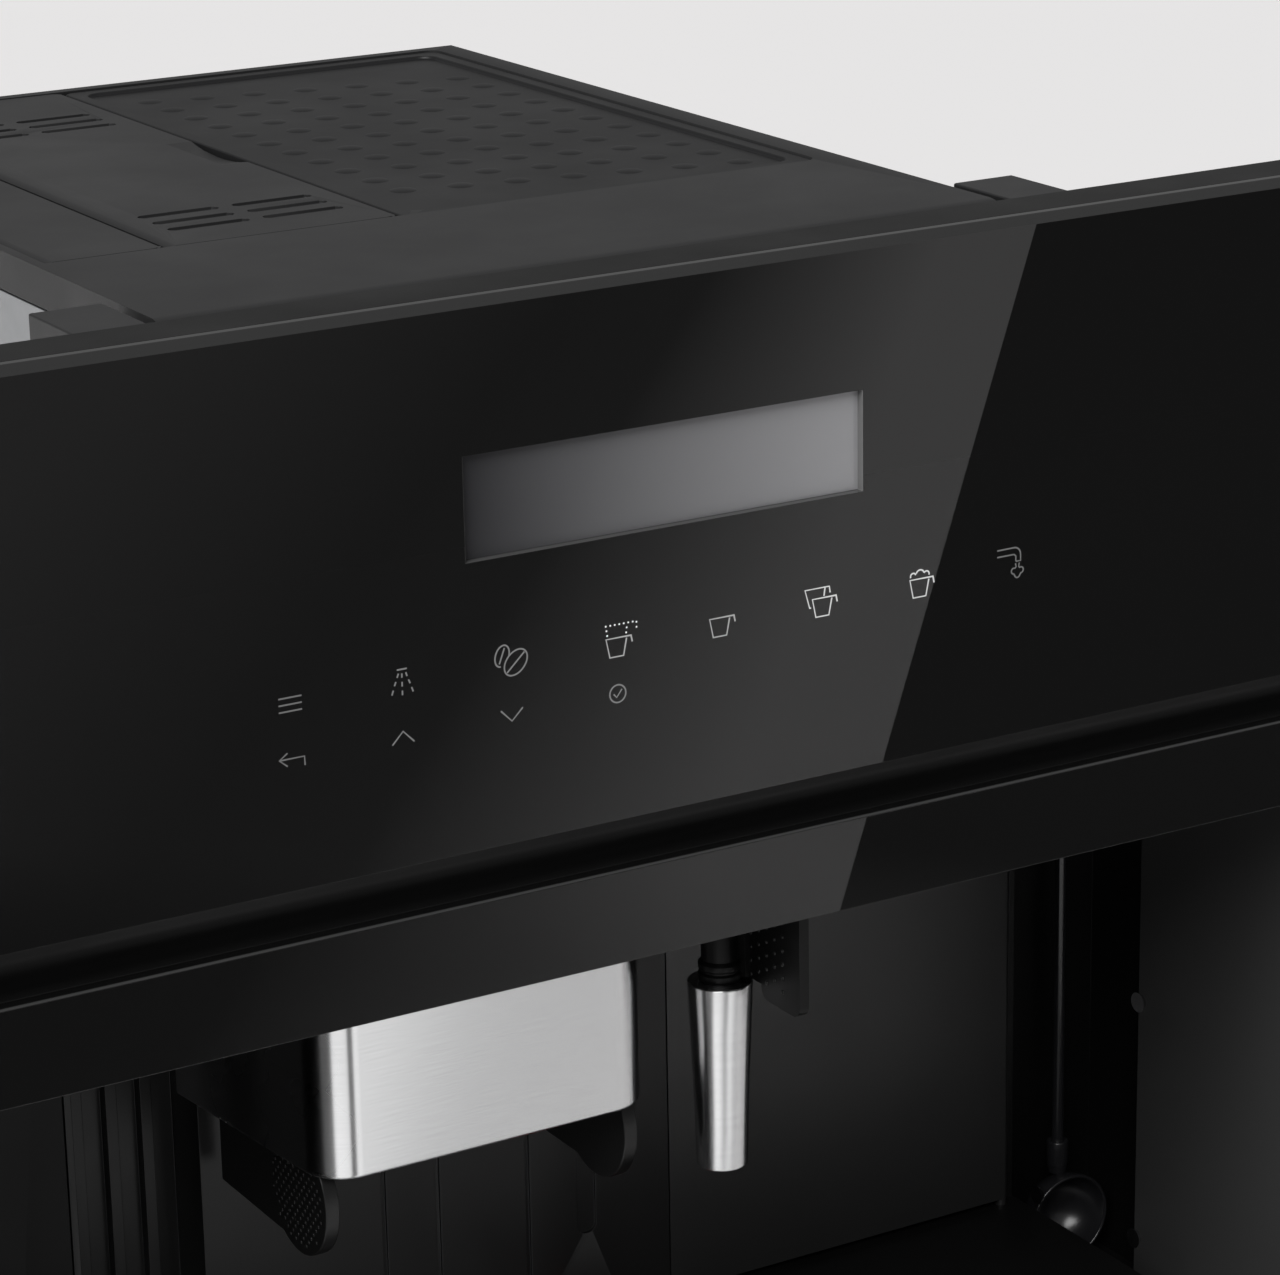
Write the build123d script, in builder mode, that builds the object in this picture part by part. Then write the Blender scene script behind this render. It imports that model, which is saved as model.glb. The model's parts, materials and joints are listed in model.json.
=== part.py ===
from build123d import *
import os

# Built in coffee machine that slides out of its cabinet on telescopic rails.
# X runs to the right seen from the front, Y runs back into the cabinet, Z is up.
# The origin is the middle of the footprint. A "depth" is a distance back from the fascia's front.
os.makedirs("parts", exist_ok=True)

# ---------------------------------------------------------------- driving dimensions, millimetres
FASCIA_WIDTH = 594
FASCIA_HEIGHT = 455
FASCIA_DEPTH = 24
TOTAL_DEPTH = 395
PANEL = 5  # thickness of the glass, the handle bar and the lower panel
BODY_WIDTH = 283
WING_WIDTH = 468  # the casing widens below the deck to take the tank and the service bay
WING_TOP = 262
WING_BOTTOM = 46
SHEET = 1.5
WALL = 2.5  # moulded walls of the niche
GAP = 0.5  # between pieces that move past each other

GLASS_BOTTOM = 292.3
GLASS_BEVEL = (2.0, 2.8)  # depth and height of the polished top edge
DISPLAY = (134, 31)
DISPLAY_BOTTOM = 379
WINDOW_RECESS = 2.6
BAR_BOTTOM = 247.2
BAR_TOP = 276.6
BAR_BEVEL = 0.5
CHANNEL_DEPTH = 17.5

NICHE_HALF = 268
NICHE_BOTTOM = 58
NICHE_BACK = 130
NICHE_ROOF = 290
BAY_LEFT = 219  # the narrow bay at the right that holds the scoop
BAY_BACK = 162.5
BAY_FLOOR = 17
BAY_POCKET = (276, 123)  # the bay's right side steps out to here, from this depth back
SCOOP_ROD = (252.5, 150)
SCOOP_RIM = (142, 38.3)  # depth of the bowl's rim and height of its middle
SCOOP_RADIUS = 17

SPOUT_X = -42.7
SPOUT_FRONT = (114, 40)  # width and depth of the steel cover's front
SPOUT_REAR = (131.6, 128)
SPOUT_BOTTOM = 179
SPOUT_TOP = 255
WAND = (39.5, 40)
WAND_PIVOT = (39.5, 85)

DOOR_LEFT = 73.5
DOOR_PIVOT = (214, 132)
DOOR_TOP = 244.5

TRAY = (-167.5, 70.5)
DECK_TOP = 452
DECK_UNDERSIDE = 439.5
DECK_SEAMS = (-138, -99.4, -19.9, 132)
LID_DEPTHS = (124, 386)

GRINDER = (-16, 228)
KNOB = (-44, 276.5)
BREW_X = 113
CHAMBER = (BREW_X, 280)
SPINDLE = (BREW_X, 318)
FEED = (SPOUT_X, 95)
FEED_RADIUS = 4

TANK_LENGTH = (198, 386)
TANK_WIDTH = (-234, -152)
TANK_HEIGHT = (48, 210)
INLET = (-100, 36)

FRONT = -TOTAL_DEPTH / 2
HALF = FASCIA_WIDTH / 2
BODY = BODY_WIDTH / 2
WING = WING_WIDTH / 2


# ---------------------------------------------------------------- planes and small helpers
def front_plane(depth):
    """Upright and facing the front: sketches in (x, height), extruding towards the front."""
    return Plane(origin=(0, FRONT + depth, 0), x_dir=(1, 0, 0), z_dir=(0, -1, 0))


def side_plane(x):
    """Upright across the machine: sketches in (depth, height), extruding to the right."""
    return Plane(origin=(x, FRONT, 0), x_dir=(0, 1, 0), z_dir=(1, 0, 0))


def level_plane(height):
    """Level: sketches in (x, depth), extruding upwards."""
    return Plane(origin=(0, FRONT, height), x_dir=(1, 0, 0), z_dir=(0, 0, 1))


def place(x, depth, height):
    """A point given by its depth behind the fascia's front."""
    return (x, FRONT + depth, height)


def span(first, second, radius=0, mode=Mode.ADD):
    """A rectangle between two limits on each axis of the sketch."""
    size = (first[1] - first[0], second[1] - second[0])
    with Locations(((first[0] + first[1]) / 2, (second[0] + second[1]) / 2)):
        if radius:
            RectangleRounded(*size, radius, mode=mode)
        else:
            Rectangle(*size, mode=mode)


def bevelled_slot(length, width, mode=Mode.ADD):
    """A slot with bevelled corners, its length along the sketch's first axis."""
    end, side, cut = length / 2, width / 2, width * 0.3
    corners = [(end, side - cut), (end - cut, side), (cut - end, side), (-end, side - cut)]
    Polygon(*corners, *[(-x, -y) for x, y in corners], mode=mode)


def save(piece, name):
    """Labels a finished piece and writes it."""
    piece.part.label = name
    export_step(piece.part, f"parts/{name}.step")


# ---------------------------------------------------------------- mounting plate and telescopic rails
RAIL_DEPTHS = (36, 386)
PAN_HALF = 197
PLATE_HALF = 216
PLATE_HOLES = (380, 280)  # across and along, in the flat of the plate
PLATE_HOLE_RADIUS = 2.25

with BuildPart() as mounting_plate:
    with BuildSketch(front_plane(RAIL_DEPTHS[1])):
        span((-PLATE_HALF, PLATE_HALF), (0, 44))
        span((-PLATE_HALF + 2, PLATE_HALF - 2), (2, 44), mode=Mode.SUBTRACT)
    extrude(amount=RAIL_DEPTHS[1] - RAIL_DEPTHS[0])
    with BuildSketch(level_plane(0)):
        span((-120, 120), (120, 300), radius=12)
        with Locations((0, sum(RAIL_DEPTHS) / 2)):
            with GridLocations(*PLATE_HOLES, 2, 2):
                Circle(PLATE_HOLE_RADIUS)
    extrude(amount=2, mode=Mode.SUBTRACT)
save(mounting_plate, "mounting_plate")


def rail(inner, outer, bottom, top, thickness):
    """A pair of C-shaped rail members, mirrored left and right, open towards the machine."""
    with BuildPart() as pair:
        for side in (-1, 1):
            with BuildSketch(front_plane(RAIL_DEPTHS[1])):
                span(sorted((side * inner, side * outer)), (bottom, top))
                hollow = sorted((side * (inner - 1), side * (outer - thickness)))
                span(hollow, (bottom + thickness, top - thickness), mode=Mode.SUBTRACT)
            extrude(amount=RAIL_DEPTHS[1] - RAIL_DEPTHS[0])
    return pair


rail_outer = rail(203, PLATE_HALF - 2, 4, 44, SHEET)
save(rail_outer, "rail_outer")
rail_middle = rail(201.5, 212, 6, 42, SHEET)
save(rail_middle, "rail_middle")
rail_inner = rail(PAN_HALF, 209.5, 9, 39, SHEET)
save(rail_inner, "rail_inner")

with BuildPart() as base_pan:
    with BuildSketch(front_plane(391.5)):
        span((-PAN_HALF, PAN_HALF), (6, WING_BOTTOM - 0.2))
        span((-PAN_HALF + SHEET, PAN_HALF - SHEET), (8, WING_BOTTOM + 1), mode=Mode.SUBTRACT)
    extrude(amount=391.5 - 134)
    with BuildSketch(front_plane(134)):
        span((-PAN_HALF, PAN_HALF), (6, 8))
    extrude(amount=134 - FASCIA_DEPTH - 2)
save(base_pan, "base_pan")

# ---------------------------------------------------------------- fascia
TRAY_SLOT = (TRAY[0] - 1, TRAY[1] + 1)

with BuildPart() as fascia_frame:
    with BuildSketch(front_plane(FASCIA_DEPTH)):
        span((-HALF, HALF), (0, FASCIA_HEIGHT))
        span((-NICHE_HALF, NICHE_HALF), (NICHE_BOTTOM, BAR_BOTTOM), mode=Mode.SUBTRACT)
        span(TRAY_SLOT, (9, NICHE_BOTTOM + 1), mode=Mode.SUBTRACT)
        span((-289, 289), (273.5, 296), mode=Mode.SUBTRACT)
        span((-172, 172), (306, 444), radius=6, mode=Mode.SUBTRACT)
    extrude(amount=FASCIA_DEPTH - PANEL)
save(fascia_frame, "fascia_frame")

with BuildPart() as control_glass:
    with BuildSketch(side_plane(-HALF)):
        with BuildLine():
            Polyline(
                (0, GLASS_BOTTOM),
                (0, FASCIA_HEIGHT - GLASS_BEVEL[1]),
                (GLASS_BEVEL[0], FASCIA_HEIGHT),
                (PANEL, FASCIA_HEIGHT),
                (PANEL, GLASS_BOTTOM),
                close=True,
            )
        make_face()
    extrude(amount=FASCIA_WIDTH)
    with BuildSketch(front_plane(PANEL)):
        with Locations((0, DISPLAY_BOTTOM + DISPLAY[1] / 2)):
            Rectangle(*DISPLAY)
    extrude(amount=PANEL, mode=Mode.SUBTRACT)
save(control_glass, "control_glass")

with BuildPart() as display_window:
    with BuildSketch(front_plane(PANEL)):
        with Locations((0, DISPLAY_BOTTOM + DISPLAY[1] / 2)):
            Rectangle(DISPLAY[0] - 0.2, DISPLAY[1] - 0.2)
    extrude(amount=PANEL - WINDOW_RECESS)
save(display_window, "display_window")

with BuildPart() as control_board:
    with BuildSketch(front_plane(17.6)):
        span((-155, 155), (314, 428))
    extrude(amount=1.6)
    with BuildSketch(front_plane(16)):
        span((-72, 72), (372, 417))
    extrude(amount=16 - PANEL - 0.2)
    with BuildSketch(front_plane(16)):
        with Locations((-1, 347.4)):
            with GridLocations(35.1, 0, 8, 1):
                Rectangle(11, 9)
        with Locations((-70, 331.3)):
            with GridLocations(35.1, 0, 4, 1):
                Rectangle(9, 8)
    extrude(amount=16 - PANEL - 0.2)
save(control_board, "control_board")

with BuildPart() as grip_channel:
    with BuildSketch(side_plane(-288.5)):
        span((PANEL, CHANNEL_DEPTH + WALL), (274, 295.5))
        with BuildSketch(mode=Mode.PRIVATE) as hand_space:
            span((PANEL - 12, CHANNEL_DEPTH), (BAR_TOP, GLASS_BOTTOM), radius=6.5)
        add(hand_space, mode=Mode.SUBTRACT)
        span((PANEL - 1, PANEL + 4), (BAR_TOP, GLASS_BOTTOM), mode=Mode.SUBTRACT)
    extrude(amount=577)
save(grip_channel, "grip_channel")

with BuildPart() as handle_bar:
    with BuildSketch(side_plane(-HALF)):
        with BuildLine():
            Polyline(
                (0, BAR_BOTTOM),
                (0, BAR_TOP - BAR_BEVEL),
                (BAR_BEVEL, BAR_TOP),
                (PANEL, BAR_TOP),
                (PANEL, BAR_BOTTOM),
                close=True,
            )
        make_face()
    extrude(amount=FASCIA_WIDTH)
save(handle_bar, "handle_bar")

with BuildPart() as lower_panel:
    with BuildSketch(front_plane(PANEL)):
        span((-HALF, HALF), (0, BAR_BOTTOM))
        span((-NICHE_HALF, NICHE_HALF), (NICHE_BOTTOM, BAR_BOTTOM + 1), mode=Mode.SUBTRACT)
        span(TRAY_SLOT, (9, NICHE_BOTTOM + 1), mode=Mode.SUBTRACT)
    extrude(amount=PANEL)
save(lower_panel, "lower_panel")

with BuildPart() as front_bracket:
    with BuildSketch(level_plane(302)):
        span((-167.5, 167.5), (FASCIA_DEPTH, 66))
        span((-145, 145), (FASCIA_DEPTH + WALL, 67), mode=Mode.SUBTRACT)
    extrude(amount=DECK_TOP - 302)
    with BuildSketch(level_plane(302)):
        for side in (-1, 1):
            span(sorted((side * 147.5, side * 165)), (FASCIA_DEPTH + WALL, 63.5))
    extrude(amount=DECK_TOP - 302 - 4, mode=Mode.SUBTRACT)
save(front_bracket, "front_bracket")

# ---------------------------------------------------------------- cup niche
RECESS = (-146, -101)
RECESS_BACK = 150

with BuildPart() as niche_back:
    with BuildSketch(front_plane(NICHE_BACK + WALL)):
        span((RECESS[0], DOOR_LEFT - 0.5), (10, NICHE_ROOF))
        span((DOOR_LEFT - 0.5, BAY_LEFT - 0.5), (DOOR_TOP + 3.5, NICHE_ROOF))
        span((RECESS[0] + WALL, RECESS[1]), (70, NICHE_ROOF - 10), mode=Mode.SUBTRACT)
    extrude(amount=WALL)
    with BuildSketch(front_plane(RECESS_BACK + WALL)):
        span((RECESS[0], RECESS[1] + WALL), (67, NICHE_ROOF - 7))
    extrude(amount=RECESS_BACK - NICHE_BACK)
    with BuildSketch(front_plane(RECESS_BACK)):
        span((RECESS[0] + WALL, RECESS[1]), (70, NICHE_ROOF - 10))
        with Locations((sum(RECESS) / 2, (60 + NICHE_ROOF) / 2)):
            with GridLocations(12, 0, 3, 1):
                Rectangle(4, 220, mode=Mode.SUBTRACT)
    extrude(amount=RECESS_BACK - NICHE_BACK, mode=Mode.SUBTRACT)
    with BuildSketch(front_plane(RECESS_BACK - 4)):
        span((RECESS[0] + WALL, RECESS[1]), (70, NICHE_ROOF - 10))
    extrude(amount=RECESS_BACK - NICHE_BACK - 4, mode=Mode.SUBTRACT)
    with BuildSketch(front_plane(NICHE_BACK + 1)):
        for seam in (-36, -16, 18):
            span((seam - 0.8, seam + 0.8), (62, NICHE_ROOF - 4))
        span((37, 44), (92, NICHE_ROOF - 4), radius=3)
    extrude(amount=1, mode=Mode.SUBTRACT)
    with BuildSketch(level_plane(DOOR_TOP + 3.5)):
        with Locations(DOOR_PIVOT):
            Circle(2.05)
    extrude(amount=8, mode=Mode.SUBTRACT)
    with BuildSketch(level_plane(DOOR_TOP + 3.5)):
        with Locations(DOOR_PIVOT):
            Rectangle(8, 8)
            Circle(2.05, mode=Mode.SUBTRACT)
    extrude(amount=8)
save(niche_back, "niche_back")

with BuildPart() as niche_left:
    with BuildSketch(level_plane(NICHE_BOTTOM - WALL)):
        span((-NICHE_HALF - WALL, RECESS[0] - 0.3), (FASCIA_DEPTH, NICHE_BACK + WALL))
    extrude(amount=NICHE_ROOF - NICHE_BOTTOM + WALL)
    with BuildSketch(level_plane(NICHE_BOTTOM)):
        span((-NICHE_HALF, RECESS[0]), (FASCIA_DEPTH, NICHE_BACK))
    extrude(amount=NICHE_ROOF, mode=Mode.SUBTRACT)
    with BuildSketch(level_plane(NICHE_BOTTOM - WALL - 1)):
        span((-170, 0), (FASCIA_DEPTH, NICHE_BACK))
    extrude(amount=WALL + 2, mode=Mode.SUBTRACT)
save(niche_left, "niche_left")

with BuildPart() as niche_right:
    with BuildSketch(level_plane(NICHE_BOTTOM - WALL)):
        span((DOOR_LEFT - 0.5, BAY_LEFT + 1), (FASCIA_DEPTH, 135.5))
        with Locations(DOOR_PIVOT):
            Circle(2.05, mode=Mode.SUBTRACT)
    extrude(amount=WALL)
    with BuildSketch(level_plane(BAY_FLOOR - WALL)):
        span((BAY_LEFT, NICHE_HALF + WALL), (FASCIA_DEPTH, BAY_BACK + WALL))
        span((BAY_LEFT, BAY_POCKET[0] + WALL), (BAY_POCKET[1] - WALL, BAY_BACK + WALL))
    extrude(amount=NICHE_ROOF - BAY_FLOOR + WALL)
    with BuildSketch(level_plane(BAY_FLOOR)):
        span((BAY_LEFT + WALL, NICHE_HALF), (FASCIA_DEPTH, BAY_BACK))
        span((BAY_LEFT + WALL, BAY_POCKET[0]), (BAY_POCKET[1], BAY_BACK))
    extrude(amount=NICHE_ROOF, mode=Mode.SUBTRACT)
    with BuildSketch(level_plane(NICHE_BOTTOM)):
        span((BAY_LEFT - 1, BAY_LEFT + WALL + 1), (FASCIA_DEPTH, 135.5))
    extrude(amount=NICHE_ROOF, mode=Mode.SUBTRACT)
    with BuildSketch(front_plane(BAY_BACK)):
        with Locations((SCOOP_ROD[0] + 6, 262.4)):
            Circle(3)
    extrude(amount=18)
save(niche_right, "niche_right")

with BuildPart() as niche_roof:
    with BuildSketch(level_plane(NICHE_ROOF)):
        span((-NICHE_HALF - WALL, NICHE_HALF + WALL), (FASCIA_DEPTH, BAY_BACK + WALL))
        span((0, BAY_POCKET[0] + WALL), (BAY_POCKET[1] - WALL, BAY_BACK + WALL))
        with Locations(FEED):
            Circle(FEED_RADIUS + 0.3, mode=Mode.SUBTRACT)
    extrude(amount=WALL)
save(niche_roof, "niche_roof")

# ---------------------------------------------------------------- casing
with BuildPart() as left_casing:
    with BuildSketch(front_plane(391.5)):
        with BuildLine():
            outline = Polyline(
                (TANK_WIDTH[1] + 2, WING_BOTTOM),
                (-WING, WING_BOTTOM),
                (-WING, WING_TOP),
                (-BODY, WING_TOP),
                (-BODY, DECK_UNDERSIDE),
            )
            offset(outline, amount=SHEET, side=Side.RIGHT)
        make_face()
    extrude(amount=391.5 - 134)
    with BuildSketch(side_plane(-WING - 1)):
        span((TANK_LENGTH[0] - 2, TANK_LENGTH[1] + 2), (WING_BOTTOM + SHEET, 248))
    extrude(amount=SHEET + 2, mode=Mode.SUBTRACT)
    with BuildSketch(front_plane(166)):
        span((-BODY - 6, -BODY + SHEET + 1), (WING_TOP - SHEET - 1, 303))
    extrude(amount=40, mode=Mode.SUBTRACT)
    with BuildSketch(front_plane(134)):
        span((-BODY, -BODY + SHEET), (303, DECK_UNDERSIDE))
    extrude(amount=134 - 68)
save(left_casing, "left_casing")

with BuildPart() as right_casing:
    with BuildSketch(front_plane(391.5)):
        with BuildLine():
            outline = Polyline(
                (PAN_HALF + 0.5, WING_BOTTOM),
                (WING, WING_BOTTOM),
                (WING, WING_TOP),
                (BODY, WING_TOP),
                (BODY, DECK_UNDERSIDE),
            )
            offset(outline, amount=SHEET, side=Side.LEFT)
        make_face()
    extrude(amount=391.5 - 166)
    with BuildSketch(side_plane(WING - SHEET - 1)):
        with Locations((285, 160)):
            with GridLocations(0, 12, 1, 9):
                Rectangle(120, 5)
    extrude(amount=SHEET + 2, mode=Mode.SUBTRACT)
    with BuildSketch(front_plane(166)):
        span((BODY - SHEET, BODY), (303, DECK_UNDERSIDE))
    extrude(amount=166 - 68)
save(right_casing, "right_casing")

with BuildPart() as rear_panel:
    with BuildSketch(front_plane(393.5)):
        span((-PAN_HALF, PAN_HALF), (6, WING_TOP))
        span((-WING, WING), (WING_BOTTOM, WING_TOP))
        span((-BODY, BODY), (WING_TOP - 1, DECK_UNDERSIDE))
        with Locations((INLET[0] + 17, INLET[1])):
            Rectangle(62, 28, mode=Mode.SUBTRACT)
        with Locations((40, 350)):
            with GridLocations(0, 12, 1, 9):
                Rectangle(110, 5, mode=Mode.SUBTRACT)
    extrude(amount=SHEET)
save(rear_panel, "rear_panel")

with BuildPart() as inlet_socket:
    with BuildSketch(front_plane(393.5)):
        with Locations((INLET[0] + 17, INLET[1])):
            Rectangle(61.6, 27.6)
    extrude(amount=20)
    with BuildSketch(front_plane(395)):
        with Locations((INLET[0] + 17, INLET[1])):
            RectangleRounded(68, 33, 3)
    extrude(amount=1.5)
    with BuildSketch(front_plane(395)):
        with Locations(INLET):
            RectangleRounded(24, 16.5, 3)
    extrude(amount=17, mode=Mode.SUBTRACT)
    with BuildSketch(front_plane(390)):
        with Locations(INLET):
            with Locations((-7, -2), (0, 2), (7, -2)):
                Rectangle(2, 4)
    extrude(amount=13)
    with BuildSketch(side_plane(INLET[0] + 29)):
        with Locations((386, INLET[1])):
            Circle(9.6)
    extrude(amount=14, mode=Mode.SUBTRACT)
    with BuildSketch(front_plane(395.5)):
        span((INLET[0] + 29, INLET[0] + 43), (INLET[1] - 10, INLET[1] + 10))
    extrude(amount=8, mode=Mode.SUBTRACT)
save(inlet_socket, "inlet_socket")

with BuildPart() as power_switch:
    with BuildSketch(side_plane(INLET[0] + 29.5)):
        with BuildLine():
            rim = CenterArc((386, INLET[1]), 9.2, -52, 104)
            Polyline(rim @ 1, (386, INLET[1] + 4), (386, INLET[1] - 4), rim @ 0)
        make_face()
        with Locations((397.6, INLET[1] - 3.6)):
            Rectangle(8, 12, rotation=16, mode=Mode.SUBTRACT)
    extrude(amount=13)
save(power_switch, "power_switch")

# ---------------------------------------------------------------- deck and lids
POCKET_FLOOR = 446
WELL_WIDTH = (-134, -105)
WELL_LENGTH = (142, 364)
HINGE_HEIGHT = 449.1
LID_RADIUS = 2.6
HINGE_PIN = 1.4

with BuildPart() as deck_frame:
    with BuildSketch(side_plane(-BODY)):
        with BuildLine():
            Polyline(
                (30, 441), (30, 436), (33, 436), (33, 440), (391.5, 440), (391.5, DECK_TOP), (41, DECK_TOP)
            )
            CenterArc((41, 441), 11, 90, 90)
        make_face()
    extrude(amount=BODY_WIDTH)
    with BuildSketch(level_plane(POCKET_FLOOR)) as pocket:
        span((DECK_SEAMS[0], DECK_SEAMS[3]), (LID_DEPTHS[0] - GAP, LID_DEPTHS[1] + GAP))
        fillet(pocket.vertices().group_by(Axis.X)[-1], 5)
    extrude(amount=10, mode=Mode.SUBTRACT)
    with BuildSketch(level_plane(430)):
        span((-95, -26), (135, 252), radius=14)
        span((-92, -26), (298, 372), radius=10)
        with Locations(KNOB):
            Circle(15.5)
    extrude(amount=20, mode=Mode.SUBTRACT)
    with BuildSketch(level_plane(DECK_UNDERSIDE)):
        span(WELL_WIDTH, WELL_LENGTH)
    extrude(amount=40, mode=Mode.SUBTRACT)
    with BuildSketch(front_plane(LID_DEPTHS[1] + 3)):
        with Locations((DECK_SEAMS[0] + 3.6, HINGE_HEIGHT), (DECK_SEAMS[1] + 4.9, HINGE_HEIGHT)):
            Circle(HINGE_PIN + 0.05)
    extrude(amount=LID_DEPTHS[1] - LID_DEPTHS[0] + 6, mode=Mode.SUBTRACT)
save(deck_frame, "deck_frame")

with BuildPart() as brush_well:
    with BuildSketch(level_plane(412)):
        span((WELL_WIDTH[0] - 2, WELL_WIDTH[1] + 2), (WELL_LENGTH[0] - 2, WELL_LENGTH[1] + 2))
    extrude(amount=440 - 412)
    with BuildSketch(level_plane(414)):
        span(WELL_WIDTH, WELL_LENGTH)
    extrude(amount=440 - 414, mode=Mode.SUBTRACT)
save(brush_well, "brush_well")

with BuildPart() as cup_plate:
    with BuildSketch(level_plane(POCKET_FLOOR)):
        span((DECK_SEAMS[2] + 0.4, DECK_SEAMS[3] - 0.4), LID_DEPTHS, radius=4.5)
    extrude(amount=5.4)
    with BuildSketch(level_plane(POCKET_FLOOR + 4.2)):
        span((DECK_SEAMS[2] + 6, DECK_SEAMS[3] - 6), (LID_DEPTHS[0] + 6, LID_DEPTHS[1] - 6), radius=6)
    extrude(amount=2, mode=Mode.SUBTRACT)
save(cup_plate, "cup_plate")


def lid(pivot_x, right_edge):
    """A flat lid, half round along its left edge, where two short pins carry it."""
    with BuildPart() as made:
        with BuildSketch(front_plane(LID_DEPTHS[1])):
            with Locations((pivot_x, HINGE_HEIGHT)):
                Circle(LID_RADIUS)
            span((pivot_x, right_edge), (HINGE_HEIGHT - LID_RADIUS, HINGE_HEIGHT + LID_RADIUS))
        extrude(amount=LID_DEPTHS[1] - LID_DEPTHS[0])
        fillet(made.edges().filter_by(Axis.Z).group_by(Axis.X)[-1], 4)
        with BuildSketch(front_plane(LID_DEPTHS[1] + 2)):
            with Locations((pivot_x, HINGE_HEIGHT)):
                Circle(HINGE_PIN)
        extrude(amount=LID_DEPTHS[1] - LID_DEPTHS[0] + 4)
    return made.part


BEAN_PIVOT = DECK_SEAMS[1] + 4.9
SIDE_PIVOT = DECK_SEAMS[0] + 3.6
LID_TOP = HINGE_HEIGHT + LID_RADIUS
NOTCH_DEPTH = 2.2
NOTCH_RADIUS = 110  # a shallow scoop, about 44 long

with BuildPart() as bean_lid:
    add(lid(BEAN_PIVOT, DECK_SEAMS[2] - 0.6))
    with BuildSketch(level_plane(LID_TOP - 0.9)):
        for group in (158, 330):
            with Locations((-58, group)):
                with GridLocations(32, 11, 2, 3):
                    bevelled_slot(27, 4.4)
    extrude(amount=3, mode=Mode.SUBTRACT)
    with BuildSketch(side_plane(DECK_SEAMS[2] - 10)):
        with Locations((252, LID_TOP - NOTCH_DEPTH + NOTCH_RADIUS)):
            Circle(NOTCH_RADIUS)
    extrude(amount=12, mode=Mode.SUBTRACT)
save(bean_lid, "bean_lid")

with BuildPart() as accessory_lid:
    add(lid(SIDE_PIVOT, DECK_SEAMS[1] + 0.4))
save(accessory_lid, "accessory_lid")

# ---------------------------------------------------------------- grinder
HOPPER_FLOOR = 386
RING_RADIUS = 44
PINION_RADIUS = 11.6

with BuildPart() as bean_hopper:
    with BuildSketch(level_plane(439.8)):
        span((-97, -24), (133, 254), radius=16)
    with BuildSketch(level_plane(HOPPER_FLOOR)):
        with Locations(GRINDER):
            RectangleRounded(38, 38, 17)
    loft()
    with BuildSketch(level_plane(439.8)):
        span((-95, -26), (135, 252), radius=14)
    with BuildSketch(level_plane(HOPPER_FLOOR)):
        with Locations(GRINDER):
            RectangleRounded(29.6, 29.6, 14.7)
    loft(mode=Mode.SUBTRACT)
    with BuildSketch(level_plane(374)):
        with Locations(GRINDER):
            Circle(16.4)
            Circle(14.8, mode=Mode.SUBTRACT)
    extrude(amount=HOPPER_FLOOR - 374)
save(bean_hopper, "bean_hopper")

with BuildPart() as grinder_housing:
    with BuildSketch(level_plane(302)):
        with Locations(GRINDER):
            Circle(40)
    extrude(amount=62)
    with BuildSketch(level_plane(350)):
        with Locations(KNOB):
            Circle(11)
        with BuildLine():
            arm_end = [(KNOB[0] + 9, KNOB[1] + 4), (KNOB[0] - 9, KNOB[1] - 4)]
            Polyline((-26, 226), (-8, 236), *arm_end, close=True)
        make_face()
    extrude(amount=12)
    with BuildSketch(level_plane(299)):
        span((-139.9, 24), (190, 266))
        span((-60, 24), (265, 391.8))
    extrude(amount=3)
    with BuildSketch(level_plane(334)):
        with Locations(GRINDER):
            Circle(31)
    extrude(amount=40, mode=Mode.SUBTRACT)
    with BuildSketch(level_plane(290)):
        with Locations(GRINDER):
            Circle(6)
        with Locations(KNOB):
            Circle(4.05)
    extrude(amount=80, mode=Mode.SUBTRACT)
    with BuildSketch(side_plane(GRINDER[0])):
        span((GRINDER[1] - 13, GRINDER[1] + 13), (334, 352))
    extrude(amount=45, mode=Mode.SUBTRACT)
save(grinder_housing, "grinder_housing")

with BuildPart() as grinder_motor:
    with BuildSketch(level_plane(212)):
        with Locations(GRINDER):
            Circle(31)
    extrude(amount=80)
    with BuildSketch(level_plane(292)):
        with Locations(GRINDER):
            RectangleRounded(74, 74, 10)
            Circle(6.4, mode=Mode.SUBTRACT)
    extrude(amount=7)
    with BuildSketch(level_plane(204)):
        with Locations(GRINDER):
            Circle(14)
    extrude(amount=8)
save(grinder_motor, "grinder_motor")

BURR_TEETH = 12

with BuildPart() as lower_burr:
    with BuildSketch(Plane(origin=place(*GRINDER, 0), x_dir=(1, 0, 0), z_dir=(0, -1, 0))):
        with BuildLine():
            Polyline(
                (0, 292.5), (5.95, 292.5), (5.95, 337), (22, 337), (22, 341), (13, 362), (6, 368), (0, 368),
                close=True,
            )
        make_face()
    revolve(axis=Axis(place(*GRINDER, 0), (0, 0, 1)))
    with BuildSketch(level_plane(340)):
        with Locations(GRINDER):
            with PolarLocations(23.5, BURR_TEETH):
                Rectangle(16, 2.2, rotation=24)
    extrude(amount=30, mode=Mode.SUBTRACT)
save(lower_burr, "lower_burr")

with BuildPart() as upper_burr:
    with BuildSketch(Plane(origin=place(*GRINDER, 0), x_dir=(1, 0, 0), z_dir=(0, -1, 0))):
        with BuildLine():
            Polyline(
                (24, 340), (30.6, 340), (30.6, 366), (RING_RADIUS, 366), (RING_RADIUS, 372), (18, 372), (18, 364),
                close=True,
            )
        make_face()
    revolve(axis=Axis(place(*GRINDER, 0), (0, 0, 1)))
save(upper_burr, "upper_burr")

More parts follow.
